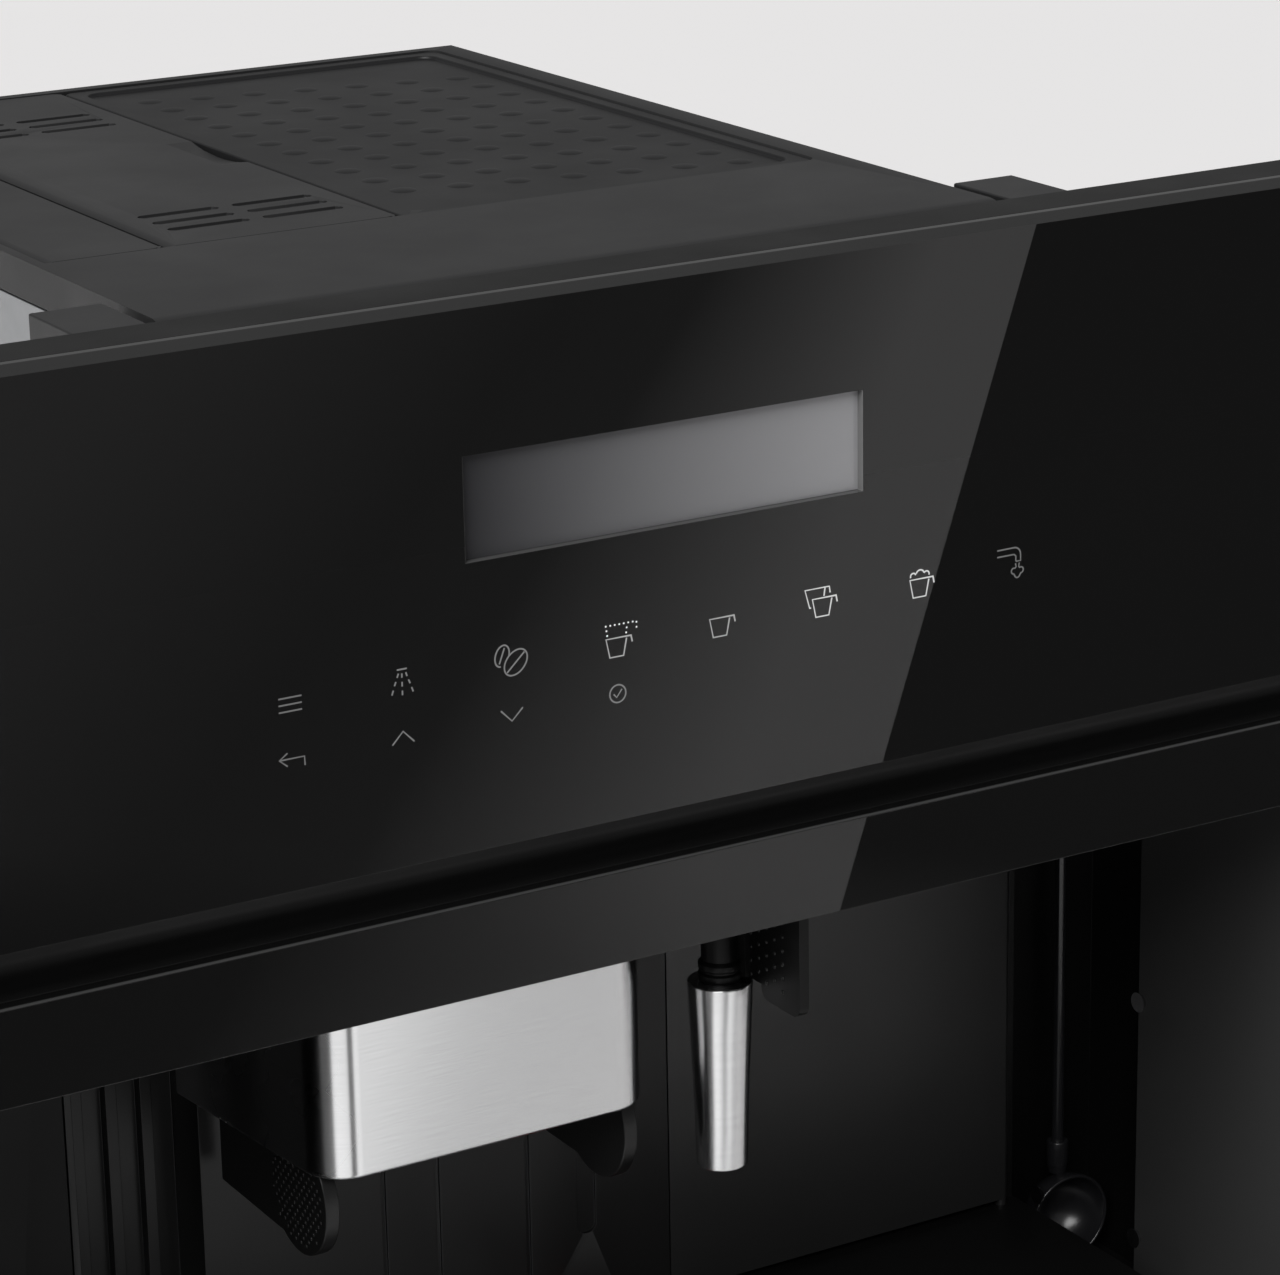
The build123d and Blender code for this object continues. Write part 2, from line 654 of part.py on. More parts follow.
with BuildPart() as grind_knob:
    with BuildSketch(level_plane(437)):
        with Locations(KNOB):
            Circle(14.5)
            with PolarLocations(15.2, 12):
                RegularPolygon(1.8, 4, mode=Mode.SUBTRACT)
    extrude(amount=5)
    with BuildSketch(level_plane(442)):
        with Locations(KNOB):
            bevelled_slot(24, 6)
    extrude(amount=3.4)
    with BuildSketch(level_plane(349)):
        with Locations(KNOB):
            Circle(4)
    extrude(amount=88)
    with BuildSketch(level_plane(366)):
        with Locations(KNOB):
            Circle(PINION_RADIUS)
    extrude(amount=6)
save(grind_knob, "grind_knob")

with BuildPart() as coffee_chute:
    with BuildSketch(front_plane(GRINDER[1] + 17)):
        with BuildLine():
            Polyline(
                (25, 330), (97, 264), (97, 260.2), (129, 260.2), (129, 276), (45, 354), (25, 354), close=True
            )
        make_face()
    extrude(amount=34)
    with BuildSketch(front_plane(GRINDER[1] + 15)):
        with BuildLine():
            Polyline((20, 338), (99, 265), (99, 255), (127, 255), (127, 275), (44, 352), (20, 352), close=True)
        make_face()
    extrude(amount=30, mode=Mode.SUBTRACT)
    with BuildSketch(front_plane(GRINDER[1] + 18)):
        with Locations((88, 292)):
            Rectangle(26, 26)
    extrude(amount=6, mode=Mode.SUBTRACT)
save(coffee_chute, "coffee_chute")

POWDER_MOUTH = ((-92, -26), (298, 372))
POWDER_NECK = (-36, 330)
POWDER_DUCT = 26


def funnel(wall):
    """The funnel's outer form, or with a smaller wall its hollow: a square mouth, a throat and a bent duct."""
    with BuildPart() as form:
        with BuildSketch(level_plane(440)):
            span(
                (POWDER_MOUTH[0][0] - wall, POWDER_MOUTH[0][1] + wall),
                (POWDER_MOUTH[1][0] - wall, POWDER_MOUTH[1][1] + wall),
            )
        with BuildSketch(level_plane(408)):
            with Locations(POWDER_NECK):
                Rectangle(POWDER_DUCT + 2 * wall, POWDER_DUCT + 2 * wall)
        loft(ruled=True)
        with BuildLine() as duct_path:
            Polyline(
                place(*POWDER_NECK, 408 + wall),
                place(*POWDER_NECK, 384),
                place(88, 290, 292),
                place(88, GRINDER[1] + 17 - 2 + wall, 292),
            )
        with BuildSketch(Plane(origin=duct_path.line @ 0, x_dir=(1, 0, 0), z_dir=(0, 0, -1))):
            Rectangle(POWDER_DUCT + 2 * wall, POWDER_DUCT + 2 * wall)
        sweep(path=duct_path.line, transition=Transition.RIGHT)
    return form.part


with BuildPart() as powder_funnel:
    add(funnel(2))
    add(funnel(0), mode=Mode.SUBTRACT)
save(powder_funnel, "powder_funnel")

# ---------------------------------------------------------------- service bay and brew unit
BAY = (DOOR_LEFT - 0.3, BAY_LEFT - 1.8)
BAY_DEPTHS = (136, 345)
BAY_HEIGHTS = (62, 260)

with BuildPart() as service_bay:
    with BuildSketch(level_plane(BAY_HEIGHTS[0])):
        span(BAY, BAY_DEPTHS)
    extrude(amount=BAY_HEIGHTS[1] - BAY_HEIGHTS[0])
    with BuildSketch(level_plane(BAY_HEIGHTS[0] + 2)):
        span((BAY[0] + 2, BAY[1] - 2), (BAY_DEPTHS[0] - 1, BAY_DEPTHS[1] - 2))
    extrude(amount=BAY_HEIGHTS[1] - BAY_HEIGHTS[0] - 4, mode=Mode.SUBTRACT)
    with BuildSketch(level_plane(BAY_HEIGHTS[1] - 3)):
        with Locations((BREW_X, GRINDER[1])):
            Rectangle(28, 30)
        with Locations(CHAMBER):
            Circle(3.4)
    extrude(amount=6, mode=Mode.SUBTRACT)
    with BuildSketch(level_plane(BAY_HEIGHTS[0] - 1)):
        with Locations(SPINDLE):
            Circle(5)
    extrude(amount=4, mode=Mode.SUBTRACT)
save(service_bay, "service_bay")

FRAME_X = (78, 148)

with BuildPart() as brew_frame:
    with BuildSketch(side_plane(FRAME_X[0])):
        span((238, 338), (64.2, 257.8))
        span((237, 330), (74, 246), mode=Mode.SUBTRACT)
        span((209.5, 240), (246, 257.8))
    extrude(amount=FRAME_X[1] - FRAME_X[0])
    for cheek in (FRAME_X[0], FRAME_X[1] - 3):
        with BuildSketch(side_plane(cheek)):
            span((300, 331), (73, 247))
            span((238, 331), (73, 100))
            span((238, 331), (220, 247))
        extrude(amount=3)
    with BuildSketch(level_plane(180)):
        with Locations(CHAMBER):
            Circle(23)
    extrude(amount=67)
    with BuildSketch(side_plane(BREW_X - 17)):
        with BuildLine():
            Polyline((210, 250), (246, 250), (250, 230), (250, 168), (238, 168), (210, 232), close=True)
        make_face()
    extrude(amount=34)
    with BuildSketch(side_plane(BREW_X - 15)):
        with BuildLine():
            Polyline(
                (213, 260), (243, 260), (247, 230), (247, 200), (253, 200), (253, 172), (240, 172), (213, 233),
                close=True,
            )
        make_face()
    extrude(amount=30, mode=Mode.SUBTRACT)
    with BuildSketch(level_plane(60)):
        with Locations(SPINDLE):
            Circle(4.05)
    extrude(amount=200, mode=Mode.SUBTRACT)
    with BuildSketch(level_plane(176)):
        with Locations(CHAMBER):
            Circle(1.5)
    extrude(amount=84, mode=Mode.SUBTRACT)
save(brew_frame, "brew_frame")

with BuildPart() as brew_chamber:
    with BuildSketch(level_plane(88)):
        with Locations(CHAMBER):
            Circle(28)
        span((BREW_X - 11, BREW_X + 11), (CHAMBER[1], SPINDLE[1]))
        with Locations(SPINDLE):
            Circle(11)
    extrude(amount=62)
    with BuildSketch(level_plane(120)):
        span((BREW_X - 12, BREW_X + 12), (309, 332))
    extrude(amount=40, mode=Mode.SUBTRACT)
    with BuildSketch(level_plane(98)):
        with Locations(CHAMBER):
            Circle(23.4)
    extrude(amount=60, mode=Mode.SUBTRACT)
    with BuildSketch(level_plane(80)):
        with Locations(SPINDLE):
            Circle(5.05)
    extrude(amount=80, mode=Mode.SUBTRACT)
save(brew_chamber, "brew_chamber")

with BuildPart() as brew_spindle:
    with BuildSketch(level_plane(60.2)):
        with Locations(SPINDLE):
            Circle(4)
    extrude(amount=196)
    with BuildSketch(level_plane(74.5)):
        with Locations(SPINDLE):
            Circle(5)
    extrude(amount=171)
save(brew_spindle, "brew_spindle")

with BuildPart() as gear_motor:
    with BuildSketch(level_plane(8)):
        with Locations(SPINDLE):
            Circle(18)
    extrude(amount=44)
    with BuildSketch(level_plane(52)):
        with Locations(SPINDLE):
            RectangleRounded(48, 40, 6)
    extrude(amount=6)
    with BuildSketch(level_plane(58)):
        with Locations(SPINDLE):
            Circle(3)
    extrude(amount=2)
save(gear_motor, "gear_motor")

# ---------------------------------------------------------------- service door and grounds container
BASKET = (108, 212, 134, 208)

with BuildPart() as service_door:
    with BuildSketch(level_plane(60.5)):
        span((DOOR_LEFT, DOOR_PIVOT[0]), (NICHE_BACK, NICHE_BACK + 4))
        with Locations(DOOR_PIVOT):
            Circle(2)
    extrude(amount=DOOR_TOP - 60.5)
    with BuildSketch(level_plane(NICHE_BOTTOM - WALL)):
        with Locations(DOOR_PIVOT):
            Circle(2)
    extrude(amount=DOOR_TOP + 10 - NICHE_BOTTOM + WALL)
    with BuildSketch(level_plane(65)):
        span(BASKET[:2], (BASKET[2] - 1, BASKET[3]), radius=8)
    extrude(amount=18)
    with BuildSketch(level_plane(67)):
        span((BASKET[0] + 2, BASKET[1] - 2), (BASKET[2], BASKET[3] - 2), radius=6)
    extrude(amount=18, mode=Mode.SUBTRACT)
save(service_door, "service_door")

with BuildPart() as grounds_container:
    with BuildSketch(level_plane(67.5)):
        span((BASKET[0] + 2.5, BASKET[1] - 2.5), (BASKET[2] + 2, BASKET[3] - 2.5), radius=6)
    extrude(amount=112)
    with BuildSketch(level_plane(69.5)):
        span((BASKET[0] + 4.5, BASKET[1] - 4.5), (BASKET[2] + 4, BASKET[3] - 4.5), radius=4)
    extrude(amount=112, mode=Mode.SUBTRACT)
save(grounds_container, "grounds_container")

# ---------------------------------------------------------------- coffee spout
NOZZLE_TIP = 172
GRIP_BOTTOM = 147
GRIP_MIDDLE = (66, 167)  # depth and height of the round finger grips
CHEEK_BACK = 121


def spout_outline(inset):
    """Plan of the steel cover: flat in front with round corners, its sides spreading backwards."""
    front = SPOUT_FRONT[0] / 2 - inset
    rear = SPOUT_REAR[0] / 2 - inset
    near, far = SPOUT_FRONT[1] + inset, SPOUT_REAR[1]
    with BuildSketch(mode=Mode.PRIVATE) as plan:
        with BuildLine():
            Polyline((-front, near), (front, near), (rear, far), (-rear, far), close=True)
        make_face()
        fillet(plan.vertices().group_by(Axis.Y)[0], 14 - inset)
    return plan.sketch


with BuildPart() as spout_sleeve:
    with BuildSketch(level_plane(SPOUT_BOTTOM)):
        with Locations((SPOUT_X, 0)):
            add(spout_outline(0))
            add(spout_outline(1.2), mode=Mode.SUBTRACT)
    extrude(amount=SPOUT_TOP - SPOUT_BOTTOM)
save(spout_sleeve, "spout_sleeve")

with BuildPart() as spout_body:
    with BuildSketch(level_plane(SPOUT_BOTTOM + 4)):
        with Locations((SPOUT_X, 0)):
            add(spout_outline(1.25))
    extrude(amount=SPOUT_TOP - SPOUT_BOTTOM - 6)
    with BuildSketch(level_plane(SPOUT_BOTTOM + 12)):
        with Locations((SPOUT_X, -2)):
            add(spout_outline(5))
        with Locations(FEED):
            Circle(9, mode=Mode.SUBTRACT)
        span((SPOUT_X - 22, SPOUT_X + 22), (56, 100), mode=Mode.SUBTRACT)
    extrude(amount=SPOUT_TOP, mode=Mode.SUBTRACT)
    with BuildSketch(level_plane(NOZZLE_TIP)):
        with Locations((SPOUT_X - 13, 66), (SPOUT_X + 13, 66)):
            Circle(8)
    extrude(amount=14)
    for side in (-1, 1):
        with BuildSketch(side_plane(SPOUT_X + side * 52.5 - 2.5)):
            with Locations(GRIP_MIDDLE):
                Circle(GRIP_MIDDLE[1] - GRIP_BOTTOM)
            span((GRIP_MIDDLE[0], CHEEK_BACK), (GRIP_BOTTOM + 3, SPOUT_BOTTOM + 6))
        extrude(amount=5)
    with BuildSketch(level_plane(NOZZLE_TIP)):
        with Locations((SPOUT_X - 13, 66), (SPOUT_X + 13, 66)):
            Circle(3.5)
    extrude(amount=30, mode=Mode.SUBTRACT)
    with BuildSketch(level_plane(192)):
        with Locations(FEED):
            Circle(FEED_RADIUS + 0.05)
    extrude(amount=80, mode=Mode.SUBTRACT)
save(spout_body, "spout_body")

with BuildPart() as spout_feed:
    with BuildSketch(level_plane(222)):
        with Locations(FEED):
            Circle(FEED_RADIUS)
            Circle(2.5, mode=Mode.SUBTRACT)
    extrude(amount=76)
    with BuildSketch(level_plane(NICHE_ROOF + WALL)):
        with Locations(FEED):
            Circle(9)
            Circle(2.5, mode=Mode.SUBTRACT)
    extrude(amount=5)
save(spout_feed, "spout_feed")

# ---------------------------------------------------------------- steam wand
WAND_TUBE = 5
SLEEVE_TOP = 215.7
SLEEVE_BOTTOM = 153

with BuildPart() as wand_socket:
    with BuildSketch(level_plane(268)):
        with Locations(WAND_PIVOT):
            Circle(13)
    extrude(amount=NICHE_ROOF - 268)
    with BuildSketch(level_plane(267)):
        with Locations(WAND_PIVOT):
            Circle(WAND_TUBE + 0.05)
    extrude(amount=21, mode=Mode.SUBTRACT)
save(wand_socket, "wand_socket")

with BuildPart() as wand_tube:
    with BuildLine() as wand_path:
        FilletPolyline(
            place(*WAND_PIVOT, 287.5),
            place(*WAND_PIVOT, 256),
            place(*WAND, 256),
            place(*WAND, 160),
            radius=12,
        )
    with BuildSketch(Plane(origin=wand_path.line @ 0, z_dir=wand_path.line % 0)):
        Circle(WAND_TUBE)
    sweep(path=wand_path.line)
    with BuildSketch(level_plane(159)):
        with Locations(WAND):
            Circle(1.2)
    extrude(amount=20, mode=Mode.SUBTRACT)
save(wand_tube, "wand_tube")

with BuildPart() as wand_grip:
    with BuildSketch(Plane(origin=place(*WAND, 0), x_dir=(1, 0, 0), z_dir=(0, -1, 0))):
        with BuildLine():
            Polyline(
                (5.02, 216), (6.4, 216), (6.9, 216.8), (6.9, 218.4), (6.2, 219), (6.2, 219.6), (6.9, 220.2),
                (6.9, 221.8), (5.9, 223), (5.9, 240), (5.02, 242), close=True,
            )
        make_face()
    revolve(axis=Axis(place(*WAND, 0), (0, 0, 1)))
    with BuildSketch(side_plane(WAND[0] + 7.4)):
        span((5.4, 46), (216.5, BAR_BOTTOM - 0.8))
        span((5.4, 27.5), (212, 240), radius=4)
    extrude(amount=3.5)
    with BuildSketch(level_plane(217)):
        with BuildLine():
            Polyline((WAND[0], 45), (WAND[0] + 8.5, 45), (WAND[0] + 8.5, 34), (WAND[0] + 5.6, 34), close=True)
        make_face()
        with Locations(WAND):
            Circle(WAND_TUBE + 0.02, mode=Mode.SUBTRACT)
    extrude(amount=22)
save(wand_grip, "wand_grip")

with BuildPart() as wand_sleeve:
    with BuildSketch(Plane(origin=place(*WAND, 0), x_dir=(1, 0, 0), z_dir=(0, -1, 0))):
        with BuildLine():
            Polyline(
                (WAND_TUBE + 0.05, SLEEVE_TOP), (10.4, SLEEVE_TOP), (8.2, SLEEVE_BOTTOM + 1), (7.4, SLEEVE_BOTTOM),
                (3, SLEEVE_BOTTOM), (3, SLEEVE_BOTTOM + 2), (6.8, SLEEVE_BOTTOM + 2), (8.8, 209),
                (WAND_TUBE + 0.05, 210), close=True,
            )
        make_face()
    revolve(axis=Axis(place(*WAND, 0), (0, 0, 1)))
save(wand_sleeve, "wand_sleeve")

# ---------------------------------------------------------------- drip tray
TRAY_BACK = 126
FLOAT = (40, 108)
GRID_RIGHT = 28  # the grid ends here, so that the float stands beside it
GRID_POSTS = (178.5, 100)

with BuildPart() as drip_tray:
    with BuildSketch(level_plane(12)):
        span((TRAY[0] + 1.5, TRAY[1] - 1.5), (PANEL, TRAY_BACK), radius=6)
        span((TRAY[0] + 1.5, TRAY[1] - 1.5), (PANEL, 20))
    extrude(amount=NICHE_BOTTOM - 12)
    with BuildSketch(level_plane(14)):
        span((TRAY[0] + 3.5, TRAY[1] - 3.5), (PANEL + 2, TRAY_BACK - 2), radius=5)
    extrude(amount=NICHE_BOTTOM, mode=Mode.SUBTRACT)
    with BuildSketch(level_plane(13)):
        with Locations(((TRAY[0] + 4 + GRID_RIGHT) / 2, (PANEL + TRAY_BACK) / 2)):
            with GridLocations(*GRID_POSTS, 2, 2):
                Circle(4)
    extrude(amount=43.5)
    with BuildSketch(front_plane(PANEL)):
        span(TRAY, (10, NICHE_BOTTOM - 0.5))
    extrude(amount=PANEL)
save(drip_tray, "drip_tray")

with BuildPart() as cup_grid:
    with BuildSketch(level_plane(56.8)):
        span((TRAY[0] + 4, GRID_RIGHT), (PANEL + 3, TRAY_BACK - 3), radius=4)
        with Locations(Location(((TRAY[0] + 4 + GRID_RIGHT) / 2, (PANEL + TRAY_BACK) / 2, 0), (0, 0, 90))):
            with GridLocations(0, 15, 1, 12):
                bevelled_slot(98, 5, mode=Mode.SUBTRACT)
    extrude(amount=3.2)
save(cup_grid, "cup_grid")

with BuildPart() as tray_float:
    with BuildSketch(level_plane(14.4)):
        with Locations(FLOAT):
            Circle(13)
    extrude(amount=8)
    with BuildSketch(level_plane(22)):
        with Locations(FLOAT):
            Circle(8)
    extrude(amount=40)
save(tray_float, "tray_float")

# ---------------------------------------------------------------- water side
TANK_WALL = 2.5
SPIGOT = (292, 64)
TANK_GRIP = (150, 188)

with BuildPart() as water_tank:
    with BuildSketch(level_plane(TANK_HEIGHT[0])):
        span(TANK_WIDTH, TANK_LENGTH, radius=6)
    extrude(amount=TANK_HEIGHT[1] - TANK_HEIGHT[0])
    with BuildSketch(side_plane(TANK_WIDTH[0])):
        span((252, 332), TANK_GRIP, radius=8)
    extrude(amount=14, mode=Mode.SUBTRACT)
    for bottom, top, wall in (
        (TANK_HEIGHT[0] + TANK_WALL, TANK_GRIP[0] - TANK_WALL, TANK_WALL),
        (TANK_GRIP[0] - TANK_WALL, TANK_GRIP[1] + TANK_WALL, 14 + TANK_WALL),
        (TANK_GRIP[1] + TANK_WALL, TANK_HEIGHT[1] + 1, TANK_WALL),
    ):
        with BuildSketch(level_plane(bottom)):
            inside = (TANK_WIDTH[0] + wall, TANK_WIDTH[1] - TANK_WALL)
            span(inside, (TANK_LENGTH[0] + TANK_WALL, TANK_LENGTH[1] - TANK_WALL), radius=4)
        extrude(amount=top - bottom, mode=Mode.SUBTRACT)
    with BuildSketch(side_plane(TANK_WIDTH[1])):
        with Locations(SPIGOT):
            Circle(6)
    extrude(amount=14)
    with BuildSketch(side_plane(TANK_WIDTH[1] - 4)):
        with Locations(SPIGOT):
            Circle(3.5)
    extrude(amount=20, mode=Mode.SUBTRACT)
save(water_tank, "water_tank")

with BuildPart() as tank_lid:
    with BuildSketch(level_plane(TANK_HEIGHT[1] + 0.3)):
        span((TANK_WIDTH[0] + 0.5, TANK_WIDTH[1]), TANK_LENGTH, radius=6)
    extrude(amount=3)
    with BuildSketch(level_plane(TANK_HEIGHT[1] - 5)):
        for inset, mode in ((3, Mode.ADD), (5, Mode.SUBTRACT)):
            rim = (TANK_WIDTH[0] + inset, TANK_WIDTH[1] - inset)
            span(rim, (TANK_LENGTH[0] + inset, TANK_LENGTH[1] - inset), radius=7 - inset, mode=mode)
    extrude(amount=5.5)
    with BuildSketch(level_plane(TANK_HEIGHT[1] + 3)):
        with Locations(Location((sum(TANK_WIDTH) / 2, sum(TANK_LENGTH) / 2, 0), (0, 0, 90))):
            bevelled_slot(60, 12)
    extrude(amount=6)
save(tank_lid, "tank_lid")

with BuildPart() as tank_socket:
    with BuildSketch(side_plane(-147)):
        span((278, 306), (8, 80), radius=3)
    extrude(amount=30)
    with BuildSketch(side_plane(-148)):
        with Locations(SPIGOT):
            Circle(6.05)
    extrude(amount=14, mode=Mode.SUBTRACT)
save(tank_socket, "tank_socket")

PUMP = (-70, 50)

with BuildPart() as pump:
    with BuildSketch(front_plane(352)):
        with Locations(PUMP):
            Circle(17)
    extrude(amount=64)
    with BuildSketch(front_plane(338)):
        with Locations(PUMP):
            Rectangle(48, 42)
    extrude(amount=36)
    with BuildSketch(front_plane(360)):
        with Locations(PUMP):
            Circle(5)
    extrude(amount=80)
    with BuildSketch(level_plane(8)):
        with Locations((PUMP[0], 320)):
            Rectangle(30, 24)
    extrude(amount=25)
save(pump, "pump")

BOILER = (-95, 215)

with BuildPart() as boiler:
    with BuildSketch(level_plane(120)):
        with Locations(BOILER):
            Circle(30)
    extrude(amount=104)
    for flange in (120, 168, 216):
        with BuildSketch(level_plane(flange)):
            with Locations(BOILER):
                Circle(34)
        extrude(amount=8)
    with BuildSketch(level_plane(8)):
        with Locations(BOILER):
            with PolarLocations(24, 3):
                RegularPolygon(5, 6)
    extrude(amount=113)
save(boiler, "boiler")

with BuildPart() as power_board:
    with BuildSketch(front_plane(380)):
        span((-130, -30), (130, 250))
    extrude(amount=1.6)
    with BuildSketch(front_plane(392)):
        with Locations((-80, 190)):
            with GridLocations(88, 108, 2, 2):
                RegularPolygon(3, 6)
    extrude(amount=12.5)
    with BuildSketch(front_plane(378.5)):
        span((-118, -84), (150, 176))
        with Locations((-55, 170)):
            Circle(12)
    extrude(amount=20)
    with BuildSketch(front_plane(378.5)):
        with Locations((-80, 222)):
            with GridLocations(7, 0, 9, 1):
                Rectangle(2, 34)
        span((-112, -48), (203, 207))
    extrude(amount=24)
save(power_board, "power_board")

HOSE = 3
HOSE_ROUTES = (
    (place(-70, 280, 50), place(-70, 240, 50), place(-95, 215, 64), place(-95, 215, 120)),
    (
        place(-95, 215, 224),
        place(-95, 215, 260),
        place(-95, 280, 266),
        place(BREW_X, 280, 266),
        place(BREW_X, 280, 257.8),
    ),
)

with BuildPart() as water_hoses:
    for route in HOSE_ROUTES:
        with BuildLine() as hose_path:
            FilletPolyline(*route, radius=5)
        with BuildSketch(Plane(origin=hose_path.line @ 0, z_dir=hose_path.line % 0)):
            RegularPolygon(HOSE, 8)
        sweep(path=hose_path.line)
    with BuildSketch(side_plane(-117)):
        with Locations((292, PUMP[1])):
            RegularPolygon(HOSE, 8)
    extrude(amount=PUMP[0] - 17 + 117)
save(water_hoses, "water_hoses")

# ---------------------------------------------------------------- measuring scoop
with BuildPart() as scoop:
    with BuildLine() as rod_path:
        Line(place(*SCOOP_ROD, 50), place(*SCOOP_ROD, 262))
        RadiusArc(place(*SCOOP_ROD, 262), place(SCOOP_ROD[0] + 12, SCOOP_ROD[1], 262), 6)
        Line(place(SCOOP_ROD[0] + 12, SCOOP_ROD[1], 262), place(SCOOP_ROD[0] + 12, SCOOP_ROD[1], 255))
    with BuildSketch(level_plane(50)):
        with Locations(SCOOP_ROD):
            Circle(2.25)
    sweep(path=rod_path.line)
    with BuildSketch(level_plane(50)):
        with Locations(SCOOP_ROD):
            Circle(4)
    extrude(amount=67 - 50)
    with BuildSketch(side_plane(SCOOP_ROD[0])):
        with Locations(SCOOP_RIM):
            Circle(SCOOP_RADIUS)
        span((SCOOP_RIM[0] - 30, SCOOP_RIM[0]), (0, 80), mode=Mode.SUBTRACT)
        span((SCOOP_RIM[0] - 30, SCOOP_RIM[0] + 30), (0, SCOOP_RIM[1]), mode=Mode.SUBTRACT)
    revolve(axis=Axis(place(SCOOP_ROD[0], *SCOOP_RIM), (0, 1, 0)))
    with Locations(place(SCOOP_ROD[0], *SCOOP_RIM)):
        Sphere(SCOOP_RADIUS - 1.4, mode=Mode.SUBTRACT)
save(scoop, "scoop")
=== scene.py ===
# %% [markdown]
# # A built in coffee machine, dressed for a studio picture
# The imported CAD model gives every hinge, slide and wall its real size. This lesson loads it as a fixed
# frame and gives it what the eye meets first: eased edges, brushed steel, back-painted glass, glowing
# touch symbols and the small bumps and screws that repeat.

import json
import math

import bmesh
import bpy
from mathutils import Matrix, Vector


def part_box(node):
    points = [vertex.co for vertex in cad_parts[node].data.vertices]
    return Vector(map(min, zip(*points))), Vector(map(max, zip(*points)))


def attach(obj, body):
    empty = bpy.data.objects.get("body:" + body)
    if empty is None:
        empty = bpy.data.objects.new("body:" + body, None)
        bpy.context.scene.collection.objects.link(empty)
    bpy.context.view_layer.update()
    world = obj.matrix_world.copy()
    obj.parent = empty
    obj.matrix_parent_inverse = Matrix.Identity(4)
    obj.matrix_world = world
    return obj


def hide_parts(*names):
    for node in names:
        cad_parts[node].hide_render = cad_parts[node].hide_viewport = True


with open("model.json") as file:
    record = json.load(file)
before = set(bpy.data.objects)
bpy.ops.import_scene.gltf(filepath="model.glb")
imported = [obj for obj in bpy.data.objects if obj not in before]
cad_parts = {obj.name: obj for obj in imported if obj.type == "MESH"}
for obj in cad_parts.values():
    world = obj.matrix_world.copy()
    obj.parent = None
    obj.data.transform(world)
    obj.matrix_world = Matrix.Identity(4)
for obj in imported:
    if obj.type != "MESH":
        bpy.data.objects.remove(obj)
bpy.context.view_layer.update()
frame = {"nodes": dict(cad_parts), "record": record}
MM = 0.001
GLASS_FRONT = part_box("control_glass")[0].y
SLOT_OF = {row["node"]: row["material_slot"] for row in frame["record"]["subparts"]}
BODY_OF = {node: body for body, nodes in frame["record"]["behaviour"]["bodies"].items() for node in nodes}

# %% [markdown]
# ## The camera
# The picture was taken from above the left front with a long lens. A camera could be pointed by eye, but
# the straight edges of the machine fix it: its place and its three turns were solved from them, so the
# render can be laid beside the picture.

# %% Camera
CAMERA_PLACE = Vector((-0.6033, -1.2058, 0.7152))
PAN, TILT, ROLL = -30.44, 17.47, -1.057

lens = bpy.data.cameras.new("studio_camera")
lens.lens = 118.68
lens.sensor_width = 36
lens.clip_end = 50
camera = bpy.data.objects.new("studio_camera", lens)
turn = (
    Matrix.Rotation(math.radians(PAN), 4, "Z")
    @ Matrix.Rotation(math.radians(90 - TILT), 4, "X")
    @ Matrix.Rotation(math.radians(ROLL), 4, "Z")
)
camera.matrix_world = Matrix.Translation(CAMERA_PLACE) @ turn
bpy.context.scene.collection.objects.link(camera)
bpy.context.scene.camera = camera
bpy.context.scene.view_settings.view_transform = "Standard"
print("camera at", tuple(CAMERA_PLACE))


# %% [markdown]
# ## Measures and small helpers
# A maker of this machine measures back from the glass, so the helper `at` takes millimetres across, back
# and up. Every finished piece stays at the origin with its place in its mesh, as the CAD pieces do.

# %% Helpers
def at(x, depth, height):
    """A point from millimetres across, back from the glass and up from the shelf."""
    return Vector((x * MM, GLASS_FRONT + depth * MM, height * MM))


def new_object(name, mesh):
    """Links a mesh to the scene as an object at the origin."""
    piece = bpy.data.objects.new(name, mesh)
    bpy.context.scene.collection.objects.link(piece)
    return piece


def mesh_of(name, build):
    """Turns a finished bmesh into a mesh."""
    mesh = bpy.data.meshes.new(name)
    build.to_mesh(mesh)
    build.free()
    return mesh


def shade(mesh, angle=30):
    """Smooth shading with creases where faces meet at more than the angle."""
    mesh.shade_smooth()
    mesh.set_sharp_from_angle(angle=math.radians(angle))


def baked(piece):
    """Applies the modifiers of a piece, so that its mesh is plain."""
    depsgraph = bpy.context.evaluated_depsgraph_get()
    mesh = bpy.data.meshes.new_from_object(piece.evaluated_get(depsgraph), depsgraph=depsgraph)
    mesh.name = piece.name
    piece.modifiers.clear()
    piece.data = mesh
    return piece


def dress(piece, body, slot, finish, *nodes):
    """Gives a piece its finish, hangs it on the empty of the body that carries it and hides the CAD nodes it
    stands for.
    """
    piece.data.materials.clear()
    piece.data.materials.append(finish)
    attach(piece, body)
    if nodes:
        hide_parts(*nodes)
    return piece


# %% [markdown]
# ## The studio
# The machine stands on a pale floor under one broad soft lamp and a pale sky, so that a colour renders
# about as it is written. The floor is wide enough to be the whole background of the picture. Every look
# in this lesson is a tree of nodes, so a few helpers that fill and join nodes come first.

# %% Helpers for node trees
def feed(tree, node, inputs):
    """Fills inputs of a node: a socket is linked, and anything else is set as the input's own value."""
    for title, value in inputs.items():
        if isinstance(value, bpy.types.NodeSocket):
            tree.links.new(value, node.inputs[title])
        else:
            node.inputs[title].default_value = value
    return node


def add_node(tree, kind, inputs=None, **settings):
    """Adds a node with its settings and its inputs."""
    node = tree.nodes.new(kind)
    for title, value in settings.items():
        setattr(node, title, value)
    return feed(tree, node, inputs or {})


def number(tree, operation, first, second=None):
    """One arithmetic node on numbers or sockets."""
    inputs = {0: first} if second is None else {0: first, 1: second}
    return add_node(tree, "ShaderNodeMath", inputs, operation=operation).outputs[0]


